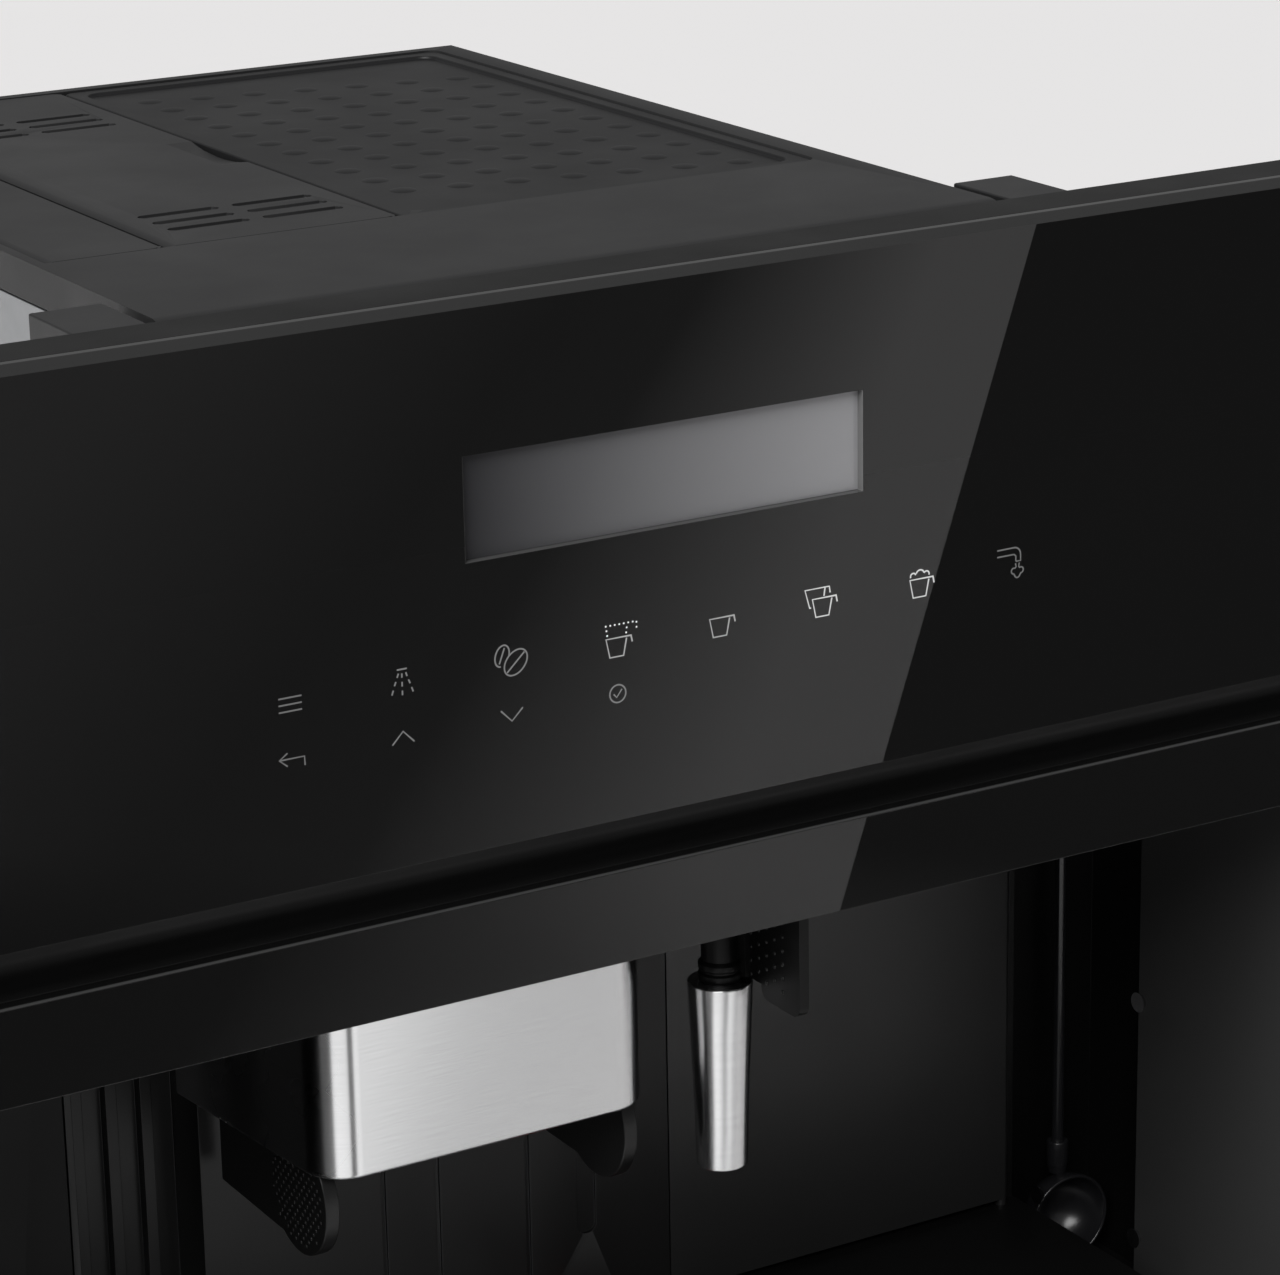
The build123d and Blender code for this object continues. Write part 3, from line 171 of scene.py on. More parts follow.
def product(tree, first, *others):
    """Several numbers multiplied; with tests that give 0 or 1 it says that all of them hold."""
    for other in others:
        first = number(tree, "MULTIPLY", first, other)
    return first


def place_of(tree):
    """The Object coordinates in a material, as outputs X, Y and Z."""
    place = add_node(tree, "ShaderNodeTexCoord").outputs["Object"]
    return add_node(tree, "ShaderNodeSeparateXYZ", {0: place}).outputs


def shader_of(name, inputs=None):
    """A new material with its node tree and its main shader, with some of the shader's inputs filled."""
    finish = bpy.data.materials.new(name)
    finish.use_nodes = True
    tree = finish.node_tree
    return finish, tree, feed(tree, tree.nodes["Principled BSDF"], inputs or {})


# %% Floor, sky and lamp
FLOOR_HALF = 12
FLOOR_DROP = 0.5 * MM
FLOOR_LOOK = {"Base Color": (0.83, 0.82, 0.82, 1), "Roughness": 0.9, "Specular IOR Level": 0.1}
SKY_LIGHT = 0.28
floor_build = bmesh.new()
bmesh.ops.create_grid(floor_build, x_segments=1, y_segments=1, size=FLOOR_HALF)
bmesh.ops.translate(floor_build, verts=floor_build.verts, vec=(0, 0, -FLOOR_DROP))
floor = new_object("studio_floor", mesh_of("studio_floor", floor_build))
floor.data.materials.append(shader_of("pale floor", FLOOR_LOOK)[0])

sky = bpy.data.worlds.new("studio sky")
bpy.context.scene.world = sky
sky.use_nodes = True
feed(sky.node_tree, sky.node_tree.nodes["Background"], {"Color": (1, 1, 1, 1), "Strength": SKY_LIGHT})

lamp = bpy.data.lights.new("soft lamp", "SUN")
lamp.energy = 3.1
lamp.angle = math.radians(40)
lamp_holder = bpy.data.objects.new("soft lamp", lamp)
lamp_holder.rotation_euler = (math.radians(46), 0, math.radians(-48))
bpy.context.scene.collection.objects.link(lamp_holder)
print("floor half width", FLOOR_HALF, "lamp", lamp.energy)


# %% [markdown]
# ## A black card in front of the glass
# Photographers put a black card in front of a glossy product, so that the glass mirrors darkness and one
# clean bright band. The slanted edge in the panel is the edge of such a card. This one lies on the floor
# where the glass mirrors it, and only a mirror-sharp ray sees it, so it takes no light from anything
# else.

# %% A card material that only the wanted rays see
def card_material(name, glow, amount, kind):
    """A see-through material that mixes to an even glow by an amount, for one kind of ray."""
    finish = bpy.data.materials.new(name)
    finish.use_nodes = True
    tree = finish.node_tree
    tree.nodes.clear()
    place = place_of(tree)
    ray = add_node(tree, "ShaderNodeLightPath").outputs
    wanted = ray["Is Singular Ray"]
    if kind == "blurred":
        wanted = number(tree, "SUBTRACT", ray["Is Glossy Ray"], wanted)
    share = product(tree, wanted, amount(tree, place))
    clear = add_node(tree, "ShaderNodeBsdfTransparent").outputs[0]
    light = add_node(tree, "ShaderNodeEmission", {"Strength": glow(tree, place)}).outputs[0]
    mix = add_node(tree, "ShaderNodeMixShader", {0: share, 1: clear, 2: light}).outputs[0]
    add_node(tree, "ShaderNodeOutputMaterial", {"Surface": mix})
    return finish


def steps_of(tree, value, low, high, stops):
    """A ramp over a range of one value, given as (value, grey) stops."""
    span = add_node(tree, "ShaderNodeMapRange", {"Value": value, "From Min": low, "From Max": high})
    ramp = add_node(tree, "ShaderNodeValToRGB", {"Fac": span.outputs["Result"]})
    for index, (spot, grey) in enumerate(stops):
        place = (spot - low) / (high - low)
        stop = ramp.color_ramp.elements[index] if index < 2 else ramp.color_ramp.elements.new(place)
        stop.position = place
        stop.color = (grey, grey, grey, 1)
    return ramp.outputs["Color"]


def lay_card(name, size, finish, place):
    """Lays a card on the floor that takes no light and throws no shadow."""
    build = bmesh.new()
    bmesh.ops.create_grid(build, x_segments=1, y_segments=1, size=size)
    piece = new_object(name, mesh_of(name, build))
    piece.matrix_world = place
    piece.data.materials.append(finish)
    for seen in ("camera", "diffuse", "shadow", "transmission", "volume_scatter"):
        setattr(piece, "visible_" + seen, False)
    return piece


# %% Black card with one sharp and one soft edge
CARD_EDGE = (Vector((0.404, -0.724, 0)), Vector((1.443, -1.995, 0)))
CARD_REACH = 3.0
CARD_LIFT = 4 * MM
# Greys by the distance left of the edge in metres, away from the machine and next to it.
CARD_STOPS = ((0.0, 0.0), (0.07, 0.0), (0.16, 0.48), (0.24, 0.86), (0.34, 0.88), (0.60, 0.70), (1.2, 0.5))
NEAR_STOPS = ((0.0, 0.0), (0.04, 0.1), (0.14, 0.55), (0.26, 0.92), (0.6, 0.96), (1.2, 0.94))
SOFT_WIDTH = 1.3
# Along the edge, towards the machine: which of the two greys holds, and the darkness right of the edge.
NEARNESS = ((-0.04, 0.0), (0.08, 1.0))
DARKNESS = ((-0.08, 0.93), (0.06, 0.78))
ALONG_HALF = 0.3


def card_darkness(tree, place):
    """Dark right of the edge; a bright band left of it that falls off softly."""
    soft = steps_of(tree, place["Y"], 0.0, SOFT_WIDTH, CARD_STOPS)
    close = steps_of(tree, place["Y"], 0.0, SOFT_WIDTH, NEAR_STOPS)
    near = steps_of(tree, place["X"], -ALONG_HALF, ALONG_HALF, NEARNESS)
    dark = steps_of(tree, place["X"], -ALONG_HALF, ALONG_HALF, DARKNESS)
    right = number(tree, "LESS_THAN", place["Y"], 0.0)
    left = number(tree, "ADD", soft, product(tree, near, number(tree, "SUBTRACT", close, soft)))
    left = product(tree, left, number(tree, "SUBTRACT", 1.0, right))
    return number(tree, "ADD", left, product(tree, dark, right))


along = (CARD_EDGE[1] - CARD_EDGE[0]).normalized()
card_turn = Matrix.Rotation(math.atan2(along.y, along.x) + math.pi, 4, "Z")
lay_card(
    "black_card",
    CARD_REACH,
    card_material("black card", lambda tree, place: 0.0, card_darkness, "sharp"),
    Matrix.Translation(CARD_EDGE[0] + Vector((0, 0, CARD_LIFT))) @ card_turn,
)
print("card edge runs", tuple(round(v, 3) for v in along))

# %% [markdown]
# ## A fan of light for the steel corner
# The spout's round corner mirrors everything from the right of the camera to the left, squeezed into a
# few millimetres. Two bright boards with a gap between them give it two bright upright bands with a dark
# line. They lie like a fan round the spout, and only the blurred rays of brushed metal see them.

# %% Fan of boards
FAN_CENTRE = at(-88, 50, 6)
FAN_REACH = 1.2
# Brightness by the direction from the spout's corner, in degrees; past the last one there is no board.
FAN_STOPS = (
    (-180, 0.05),
    (-140, 0.12),
    (-134, 1.35),
    (-97, 1.30),
    (-94, 0.10),
    (-83, 0.10),
    (-80, 1.45),
    (-66, 1.30),
    (-59, 0.72),
    (-48, 0.70),
)
BOARD_GLOW = 0.04
BOARD_HEIGHT = 8
DARK_BOARDS = (
    ("left_dark_board", (-800, -130), (0.24, 0.14)),
    ("right_dark_board", (760, -250), (0.24, 0.24)),
)


def heading(tree, place):
    """The direction of a point from the middle of the fan, in degrees."""
    return number(tree, "DEGREES", number(tree, "ARCTAN2", place["Y"], place["X"]))


def fan_glow(tree, place):
    """The boards' brightness; a ramp holds at most 1, so it holds half of it."""
    half = [(spot, grey / 2) for spot, grey in FAN_STOPS]
    return product(tree, steps_of(tree, heading(tree, place), -180, 0, half), 2.0)


def fan_amount(tree, place):
    """Only the part between the outer directions is there."""
    return number(tree, "LESS_THAN", heading(tree, place), FAN_STOPS[-1][0])


fan_finish = card_material("bright boards", fan_glow, fan_amount, "blurred")
lay_card("fan_of_boards", FAN_REACH, fan_finish, Matrix.Translation(FAN_CENTRE))
dark_finish = card_material("dark boards", lambda tree, place: BOARD_GLOW, lambda tree, place: 1.0, "blurred")
for name, middle, half in DARK_BOARDS:
    board_place = Matrix.Translation(at(*middle, BOARD_HEIGHT)) @ Matrix.Diagonal((*half, 1, 1))
    lay_card(name, 1.0, dark_finish, board_place)
print("fan stops", len(FAN_STOPS))

# %% [markdown]
# ## Finishes
# Each finish is a small tree of nodes on the piece's own coordinates. Moulded plastic is never one flat
# colour: spark-eroded moulds leave a fine grain, and handling leaves the gloss a little uneven. So each
# plastic has a slow change of tone, a slow change of roughness, and a fine relief at the scale that the
# real process leaves.

# %% Helpers for relief and for uneven tone
FACING = 0.7  # a face looks along an axis where its normal has more than this of it
SLANTED = 0.2  # on an eased edge the products of its normal's parts add up to more than this


def pattern(tree, scale, detail=3, stretch=(1, 1, 1)):
    """Noise on Object coordinates, pulled out along the axes where stretch is below one."""
    place = add_node(tree, "ShaderNodeTexCoord").outputs["Object"]
    pulled = add_node(tree, "ShaderNodeMapping", {"Vector": place, "Scale": stretch}).outputs["Vector"]
    noise = {"Vector": pulled, "Scale": scale, "Detail": detail}
    return add_node(tree, "ShaderNodeTexNoise", noise).outputs["Fac"]


def spread(tree, grain, low, high):
    """Noise mapped to a range of numbers."""
    limits = {"From Min": 0.3, "From Max": 0.7, "To Min": low, "To Max": high}
    return add_node(tree, "ShaderNodeMapRange", {"Value": grain, **limits}).outputs["Result"]


def relief(tree, size, detail, height, stretch=(1, 1, 1)):
    """A fine relief of noise, its grain's size and its height in millimetres."""
    grain = pattern(tree, 1 / (size * MM), detail, stretch)
    return add_node(tree, "ShaderNodeBump", {"Height": grain, "Distance": height * MM}).outputs["Normal"]


def two_tones(tree, grain, dark, light):
    """Two colours of the same finish, blended by slow noise."""
    tones = {"Factor": grain, "A": (*dark, 1), "B": (*light, 1)}
    return add_node(tree, "ShaderNodeMix", tones, data_type="RGBA").outputs["Result"]


def paint_light_and_shade(finish, tone, chosen):
    """Paints another tone on the faces that are chosen by the way they look; each use paints light or shade,
    at least in part.
    """
    tree = finish.node_tree
    shader = tree.nodes["Principled BSDF"]
    normal = add_node(tree, "ShaderNodeNewGeometry").outputs["True Normal"]
    looks = add_node(tree, "ShaderNodeSeparateXYZ", {0: normal}).outputs
    before = shader.inputs["Base Color"].links[0].from_socket
    tones = {"Factor": chosen(tree, looks), "A": before, "B": (tone, tone, tone, 1)}
    blend = add_node(tree, "ShaderNodeMix", tones, data_type="RGBA")
    feed(tree, shader, {"Base Color": blend.outputs["Result"]})


FINISH = {}


def plastic(name, dark, light, rough, grain_size, grain_height, level=0.5):
    """Moulded plastic: two close tones, an uneven gloss and the mould's grain."""
    FINISH[name], tree, shader = shader_of(name, {"Specular IOR Level": level})
    look = {
        "Base Color": two_tones(tree, pattern(tree, 9), dark, light),
        "Roughness": spread(tree, pattern(tree, 25, 5), rough - 0.03, rough + 0.04),
        "Normal": relief(tree, grain_size, 2, grain_height),
    }
    feed(tree, shader, look)


# %% Plastics
plastic("deck_plastic", (0.015, 0.015, 0.0155), (0.020, 0.020, 0.0205), 0.44, 0.5, 0.02, 0.34)
plastic("niche_plastic", (0.005, 0.005, 0.005), (0.007, 0.007, 0.007), 0.34, 0.7, 0.008, 0.26)
plastic("black_plastic", (0.005, 0.005, 0.005), (0.007, 0.007, 0.007), 0.36, 0.6, 0.012, 0.28)
plastic("door_plastic", (0.007, 0.007, 0.007), (0.009, 0.009, 0.009), 0.40, 0.9, 0.006, 0.5)
# The bay's plastic is near black as painted shade in the deep narrow bay.
plastic("bay_plastic", (0.0020, 0.0020, 0.0020), (0.0028, 0.0028, 0.0028), 0.42, 0.7, 0.008, 0.3)
plastic("plate_plastic", (0.010, 0.010, 0.0105), (0.014, 0.014, 0.0145), 0.44, 0.5, 0.02, 0.22)
# The shade plastic is darker and less glossy than the black plastic: on the niche's left side and the frame's
# top this is partly painted shade; on the wand's grip it is the grip's own black.
plastic("shade_plastic", (0.0020, 0.0020, 0.0020), (0.0028, 0.0028, 0.0028), 0.42, 0.7, 0.008, 0.15)
plastic("scoop_plastic", (0.008, 0.008, 0.009), (0.011, 0.011, 0.012), 0.24, 1.5, 0.004)
plastic("white_plastic", (0.52, 0.52, 0.49), (0.58, 0.58, 0.55), 0.42, 0.6, 0.012)
plastic("red_plastic", (0.42, 0.012, 0.012), (0.50, 0.02, 0.018), 0.25, 1.5, 0.004)
plastic("silicone", (0.56, 0.56, 0.53), (0.64, 0.64, 0.61), 0.38, 1.0, 0.01)
plastic("circuit_board", (0.010, 0.075, 0.030), (0.022, 0.13, 0.055), 0.35, 2.0, 0.01)
plastic("motor_metal", (0.16, 0.16, 0.17), (0.22, 0.22, 0.23), 0.38, 0.4, 0.006)
motor_tree = FINISH["motor_metal"].node_tree
feed(motor_tree, motor_tree.nodes["Principled BSDF"], {"Metallic": 1})
# Behind the step the bay is painted near black as painted shade; before it the right wall gets a painted
# light tone.
BAY_STEP = at(0, 123, 0).y  # behind it the bay is dark on every side
SEAM_END = at(0, 127, 0).y


def bay_wall_painted_light(tree, looks):
    """The faces of the bay's right wall that lie before the step, which get a painted light tone."""
    before = number(tree, "LESS_THAN", place_of(tree)["Y"], BAY_STEP)
    return product(tree, number(tree, "LESS_THAN", looks["X"], -FACING), before)


def front_faces_painted_shade(tree, looks):
    """The upright front faces before the lids' front seam, which are painted near black as painted shade."""
    before = number(tree, "LESS_THAN", place_of(tree)["Y"], SEAM_END)
    return product(tree, number(tree, "LESS_THAN", looks["Y"], -FACING), before)


# A painted light tone on the front of the bay's right wall.
paint_light_and_shade(FINISH["bay_plastic"], 0.036, bay_wall_painted_light)
# The deck's and the plate's front faces are painted near black: a painted shadow under the beam and at the
# lids' front.
for slot in ("deck_plastic", "plate_plastic"):
    paint_light_and_shade(FINISH[slot], 0.003, front_faces_painted_shade)
print("finishes", sorted(FINISH))

# %% [markdown]
# ## Glass and gloss
# The panel is clear glass with black enamel baked on its back, so the eye sees deep black under one sharp
# mirror. Toughened glass is never quite flat: a very slow relief bends the mirrored edge a little. The
# handle bar and the doors are high-gloss moulded panels, a touch wavier than the glass.

# %% Gloss black finishes
def gloss(name, black, rough, wave_size, wave_height, ior=1.5):
    """A black surface under a sharp mirror."""
    FINISH[name], tree, shader = shader_of(name, {"Roughness": rough, "IOR": ior})
    tones = two_tones(tree, pattern(tree, 6), (black * 0.9,) * 3, (black * 1.1,) * 3)
    feed(tree, shader, {"Base Color": tones, "Normal": relief(tree, wave_size, 1, wave_height)})


def edges_painted_highlight(tree, looks):
    """The eased edges, which look along none of the three axes; they get a painted highlight."""
    x, y, z = (number(tree, "ABSOLUTE", looks[axis]) for axis in "XYZ")
    pairs = [product(tree, a, b) for a, b in ((x, y), (y, z), (x, z))]
    total = number(tree, "ADD", number(tree, "ADD", pairs[0], pairs[1]), pairs[2])
    return number(tree, "GREATER_THAN", total, SLANTED)


gloss("black_glass", 0.0042, 0.003, 160, 0.004, 1.52)
gloss("gloss_black", 0.0040, 0.003, 60, 0.004)
# The eased edges of the glass and of the gloss panels get a lighter tone: a painted highlight along each
# edge.
for slot, tone in (("black_glass", 0.022), ("gloss_black", 0.03)):
    paint_light_and_shade(FINISH[slot], tone, edges_painted_highlight)

WINDOW_LOW, WINDOW_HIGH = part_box("display_window")
WINDOW_MARGIN = 5 * MM
LOWER_EDGE = 0.45  # how much of the lighter tone the opening's lower edge shows


def window_edge_ground_and_highlight(tree, looks):
    """The right and lower cut edges of the window's opening: ground glass, made lighter partly as a painted
    highlight.
    """
    place = place_of(tree)
    leftwards = number(tree, "LESS_THAN", looks["X"], -FACING)
    upwards = product(tree, number(tree, "GREATER_THAN", looks["Z"], FACING), LOWER_EDGE)
    below = number(tree, "LESS_THAN", place["Z"], WINDOW_HIGH.z + WINDOW_MARGIN)
    right = number(tree, "GREATER_THAN", place["X"], WINDOW_LOW.x - WINDOW_MARGIN)
    return product(tree, number(tree, "MAXIMUM", leftwards, upwards), below, right)


# The window's cut edges get a light grey tone, partly a painted highlight.
paint_light_and_shade(FINISH["black_glass"], 0.15, window_edge_ground_and_highlight)

SMOKED_LOOK = {"Roughness": 0.08, "Transmission Weight": 0.55, "IOR": 1.45}
SMOKED_WAVES = 30  # to a metre
FINISH["smoked_plastic"], smoked_tree, smoked_shader = shader_of("smoked_plastic", SMOKED_LOOK)
smoked_tones = two_tones(smoked_tree, pattern(smoked_tree, 7), (0.05, 0.055, 0.06), (0.07, 0.075, 0.08))
smoked_waves = relief(smoked_tree, 1000 / SMOKED_WAVES, 1, 0.02)
feed(smoked_tree, smoked_shader, {"Base Color": smoked_tones, "Normal": smoked_waves})
print("gloss finishes added")

# %% [markdown]
# ## Metals
# Brushed steel gets its look from thousands of fine parallel scratches: the highlight is drawn out across
# them. The scratches are noise stretched along the brushing direction, and the shader's own anisotropy
# does the rest. Galvanised sheet is grey with a faint crystal pattern, and turned tool steel has rings.

# %% Metal finishes
def metal(name, dark, light, rough, stretch, scratch_size, scratch_height, anisotropy=0.0):
    """A bare metal with scratches pulled out along one direction."""
    FINISH[name], tree, shader = shader_of(name, {"Metallic": 1, "Anisotropic": anisotropy})
    look = {
        "Base Color": two_tones(tree, pattern(tree, 1 / (scratch_size * MM), 4, stretch), dark, light),
        "Roughness": spread(tree, pattern(tree, 14, 3), rough - 0.03, rough + 0.03),
        "Normal": relief(tree, scratch_size, 3, scratch_height, stretch),
    }
    if anisotropy:
        tangent = add_node(tree, "ShaderNodeTangent", direction_type="RADIAL", axis="Z")
        look |= {"Tangent": tangent.outputs["Tangent"], "Anisotropic Rotation": 0.25}
    feed(tree, shader, look)


metal("brushed_steel", (0.58, 0.58, 0.585), (0.70, 0.70, 0.705), 0.26, (0.02, 0.02, 1), 0.35, 0.004, 0.85)
metal("sheet_steel", (0.36, 0.37, 0.38), (0.47, 0.48, 0.49), 0.42, (1, 1, 1), 9, 0.004)
metal("machined_steel", (0.38, 0.38, 0.39), (0.46, 0.46, 0.47), 0.24, (0.1, 0.1, 1), 0.5, 0.003)
metal("boiler_aluminium", (0.52, 0.52, 0.53), (0.60, 0.60, 0.61), 0.40, (1, 1, 1), 1.2, 0.02)
print("metal finishes added")

# %% [markdown]
# ## The display
# Behind a sunk window lies a grey liquid crystal panel that is switched off. Its colour is painted from near
# black at the left to light grey at the right, as a painted reflection. The window itself keeps the glass's
# sharp mirror.

# %% Display window
FINISH["display_glass"], display_tree, display_shader = shader_of("display_glass", {"Roughness": 0.003})
window_span = {"Value": place_of(display_tree)["X"], "From Min": WINDOW_LOW.x, "From Max": WINDOW_HIGH.x}
display_span = add_node(display_tree, "ShaderNodeMapRange", window_span)
# The ramp paints the panel from near black at its left to light grey at its right: a painted reflection.
display_painted_reflection = add_node(display_tree, "ShaderNodeValToRGB", {"Fac": display_span.outputs["Result"]})
display_painted_reflection.color_ramp.elements[0].color = (0.020, 0.020, 0.022, 1)
display_painted_reflection.color_ramp.elements[1].color = (0.235, 0.235, 0.243, 1)
feed(display_tree, display_shader, {"Base Color": display_painted_reflection.outputs["Color"]})
print("display from", round(WINDOW_LOW.x, 4), "to", round(WINDOW_HIGH.x, 4))

# %% [markdown]
# ## Dressing the CAD pieces
# A CAD edge is perfectly sharp, and nothing real is: moulded and pressed edges catch a thin line of
# light. A copy of each visible CAD mesh is merged, its flat faces are joined and its sharp edges eased by
# a small bevel. Hidden inner pieces keep their CAD mesh and only get a finish.

# %% Every CAD node gets its finish
for node, thing in frame["nodes"].items():
    thing.data.materials.clear()
    thing.data.materials.append(FINISH[SLOT_OF[node]])
print("finished", len(frame["nodes"]), "nodes")


# %% Eased copies of the visible pieces
# The bay's plastic and the shade plastic carry painted shade in the bay, on the niche's left side and on the
# frame's top.
FINISH_OF = {
    "service_door": "door_plastic",
    "niche_right": "bay_plastic",
    "niche_left": "shade_plastic",
    "fascia_frame": "shade_plastic",
    "wand_grip": "shade_plastic",
    "cup_plate": "plate_plastic",
}
# How far the visible lids stay back from their seams, in millimetres: left, right and front.
SEAM = {"accessory_lid": (0, 0.9, 1.2), "bean_lid": (0.5, 0.3, 1.2), "cup_plate": (0.5, 0, 0)}
RIM_LOW = at(0, 0, 449.9).z
FRONT_SEAM = at(0, 124, 0).y
SIDE_NEAR, FRONT_NEAR = 0.05 * MM, 0.9 * MM  # what counts as lying on a seam
CREASE = 32


def drawn_back(build, left, right, front):
    """Moves only the outermost edges of a lid's top inwards, so that its seams show."""
    top = [vert for vert in build.verts if vert.co.z > RIM_LOW]
    low_x, high_x = min(vert.co.x for vert in top), max(vert.co.x for vert in top)
    for vert in top:
        if vert.co.x < low_x + SIDE_NEAR:
            vert.co.x += left * MM
        elif vert.co.x > high_x - SIDE_NEAR:
            vert.co.x -= right * MM
        if abs(vert.co.y - FRONT_SEAM) < FRONT_NEAR:
            vert.co.y += front * MM
    return [round(side / MM, 1) for side in (low_x, high_x)]


def eased(node, width):
    """A merged copy of a CAD node with eased edges, which stands for the node."""
    build = bmesh.new()
    build.from_mesh(frame["nodes"][node].data)
    bmesh.ops.remove_doubles(build, verts=build.verts, dist=0.002 * MM)
    bmesh.ops.dissolve_limit(build, angle_limit=math.radians(1), verts=build.verts, edges=build.edges)
    if node in SEAM:
        print(node, "seams at", drawn_back(build, *SEAM[node]))
    for layer in list(build.verts.layers.float_vector.values()):
        build.verts.layers.float_vector.remove(layer)
    mesh = mesh_of(node + "_eased", build)
    shade(mesh, CREASE)
    piece = new_object(node + "_eased", mesh)
    bevel = piece.modifiers.new("eased edges", "BEVEL")
    bevel.limit_method = "ANGLE"
    bevel.angle_limit = math.radians(CREASE)
    bevel.width = width * MM
    bevel.segments = 2
    bevel.harden_normals = True
    baked(piece)
    return dress(piece, BODY_OF[node], SLOT_OF[node], FINISH[FINISH_OF.get(node, SLOT_OF[node])], node)


EASED = {
    "fascia_frame": 0.3,
    "control_glass": 0.35,
    "handle_bar": 0.3,
    "lower_panel": 0.4,
    "grip_channel": 0.3,
    "front_bracket": 0.6,
    "deck_frame": 0.4,
    "bean_lid": 0.75,
    "accessory_lid": 0.75,
    "cup_plate": 0.6,
    "niche_back": 0.4,
    "niche_left": 0.4,
    "niche_right": 0.4,
    "niche_roof": 0.3,
    "service_door": 0.5,
    "spout_body": 0.6,
    "wand_grip": 0.25,
    "drip_tray": 0.5,
    "cup_grid": 0.4,
    "tray_float": 0.5,
    "left_casing": 0.3,
    "right_casing": 0.3,
    "rear_panel": 0.3,
    "base_pan": 0.3,
    "mounting_plate": 0.3,
    "inlet_socket": 0.3,
    "power_switch": 0.3,
    "tank_lid": 0.6,
    "water_tank": 0.5,
}
for node, width in EASED.items():
    piece = eased(node, width)
    print(node, "faces", len(piece.data.polygons))

# %% [markdown]
# ## The spout's steel cover
# The cover is one strip of brushed steel folded round the spout, with soft upright corners and a lower
# edge rolled inwards so that no hand meets a raw edge. The CAD wall is a plain extrusion. Here it is
# remade as a stack of rings: down the outside, round the roll and up again inside.

# %% Plan of the cover and its rings
SPOUT_X = -42.7
COVER_FRONT, COVER_REAR = 57.0, 65.8
COVER_NEAR, COVER_FAR = 40.0, 128.0
COVER_BOTTOM, COVER_TOP = 179.0, 255.0
COVER_CORNER = 14.0
COVER_SHEET = 1.2
COVER_ROLL = 1.7
ARC_STEPS = 20


def rounded_corner(before, corner, after, radius):
    """Points of the arc that rounds one corner of a plan."""
    a, b = (before - corner).normalized(), (after - corner).normalized()
    half = a.angle(b) / 2
    centre = corner + (a + b).normalized() * (radius / math.sin(half))
    reach = radius / math.tan(half)
    start, end = corner + a * reach - centre, corner + b * reach - centre
    sweep = start.angle_signed(end)
    return [centre + Matrix.Rotation(-sweep * step / ARC_STEPS, 2) @ start for step in range(ARC_STEPS + 1)]


def cover_plan(inset):
    """Plan of the cover, moved inwards: rear left, two rounded front corners, rear right."""
    left_rear = Vector((-COVER_REAR + inset, COVER_FAR))
    left_front = Vector((-COVER_FRONT + inset, COVER_NEAR + inset))
    right_front = Vector((COVER_FRONT - inset, COVER_NEAR + inset))
    right_rear = Vector((COVER_REAR - inset, COVER_FAR))
    left_arc = rounded_corner(left_rear, left_front, right_front, COVER_CORNER - inset)
    right_arc = rounded_corner(left_front, right_front, right_rear, COVER_CORNER - inset)
    return [left_rear, *left_arc, *right_arc, right_rear]


ring_list = [(0.0, COVER_TOP), (0.0, COVER_BOTTOM + COVER_ROLL)]
for step in range(1, 7):
    roll = math.radians(15 * step)
    ring_list.append((COVER_ROLL * (1 - math.cos(roll)), COVER_BOTTOM + COVER_ROLL * (1 - math.sin(roll))))
ring_list += [(COVER_ROLL, COVER_BOTTOM + 0.6), (COVER_SHEET, COVER_BOTTOM + 2.4), (COVER_SHEET, COVER_TOP)]

cover_build = bmesh.new()
rings = []
for inset, height in ring_list:
    rings.append([cover_build.verts.new(at(SPOUT_X + p.x, p.y, height)) for p in cover_plan(inset)])
for outer, inner in zip(rings, rings[1:] + rings[:1]):
    for i in range(len(outer) - 1):
        cover_build.faces.new((outer[i], outer[i + 1], inner[i + 1], inner[i]))
for end in (0, -1):
    cover_build.faces.new([ring[end] for ring in rings])
bmesh.ops.recalc_face_normals(cover_build, faces=cover_build.faces)
cover_mesh = mesh_of("spout_cover", cover_build)
shade(cover_mesh, angle=35)
cover = new_object("spout_cover", cover_mesh)
dress(cover, "spout", "brushed_steel", FINISH["brushed_steel"], "spout_sleeve")
print("cover faces", len(cover_mesh.polygons))


# %% [markdown]
# ## Turned pieces
# The wand's steel sleeve and the scoop's collar and bowl come off a lathe, or out of a mould that a lathe
# made. One helper spins a profile of radius and height about an upright line, with enough steps to look
# round in a close view.

# %% Lathe helper and the wand's sleeve
WAND = (39.5, 40)
TURNED_STEPS = 64


def turned(name, profile, centre, steps=TURNED_STEPS, lying=False):
    """Spins a closed profile of (radius, height) about an upright axis at centre (across, back).

    Where it is lying, the profile is (radius, depth) and the centre is (across, up).
    """
    build = bmesh.new()
    middle = at(centre[0], 0, centre[1]) if lying else at(*centre, 0)
    loops = []
    for step in range(steps):
        c, s = math.cos(2 * math.pi * step / steps), math.sin(2 * math.pi * step / steps)
        spots = [(r * c, far, r * s) if lying else (r * c, r * s, far) for r, far in profile]
        loops.append([build.verts.new(middle + Vector(spot) * MM) for spot in spots])
    for here, there in zip(loops, loops[1:] + loops[:1]):
        for i in range(len(profile)):
            j = (i + 1) % len(profile)
            build.faces.new((here[i], there[i], there[j], here[j]))
    bmesh.ops.remove_doubles(build, verts=build.verts, dist=0.001 * MM)
    bmesh.ops.recalc_face_normals(build, faces=build.faces)
    mesh = mesh_of(name, build)
    shade(mesh, CREASE)
    return new_object(name, mesh)


def round_off(corner, radius, start, end, steps=5):
    """Profile points of a small quarter round about a corner's centre."""
    angles = [math.radians(start + (end - start) * step / steps) for step in range(steps + 1)]
    return [(corner[0] + radius * math.cos(a), corner[1] + radius * math.sin(a)) for a in angles]


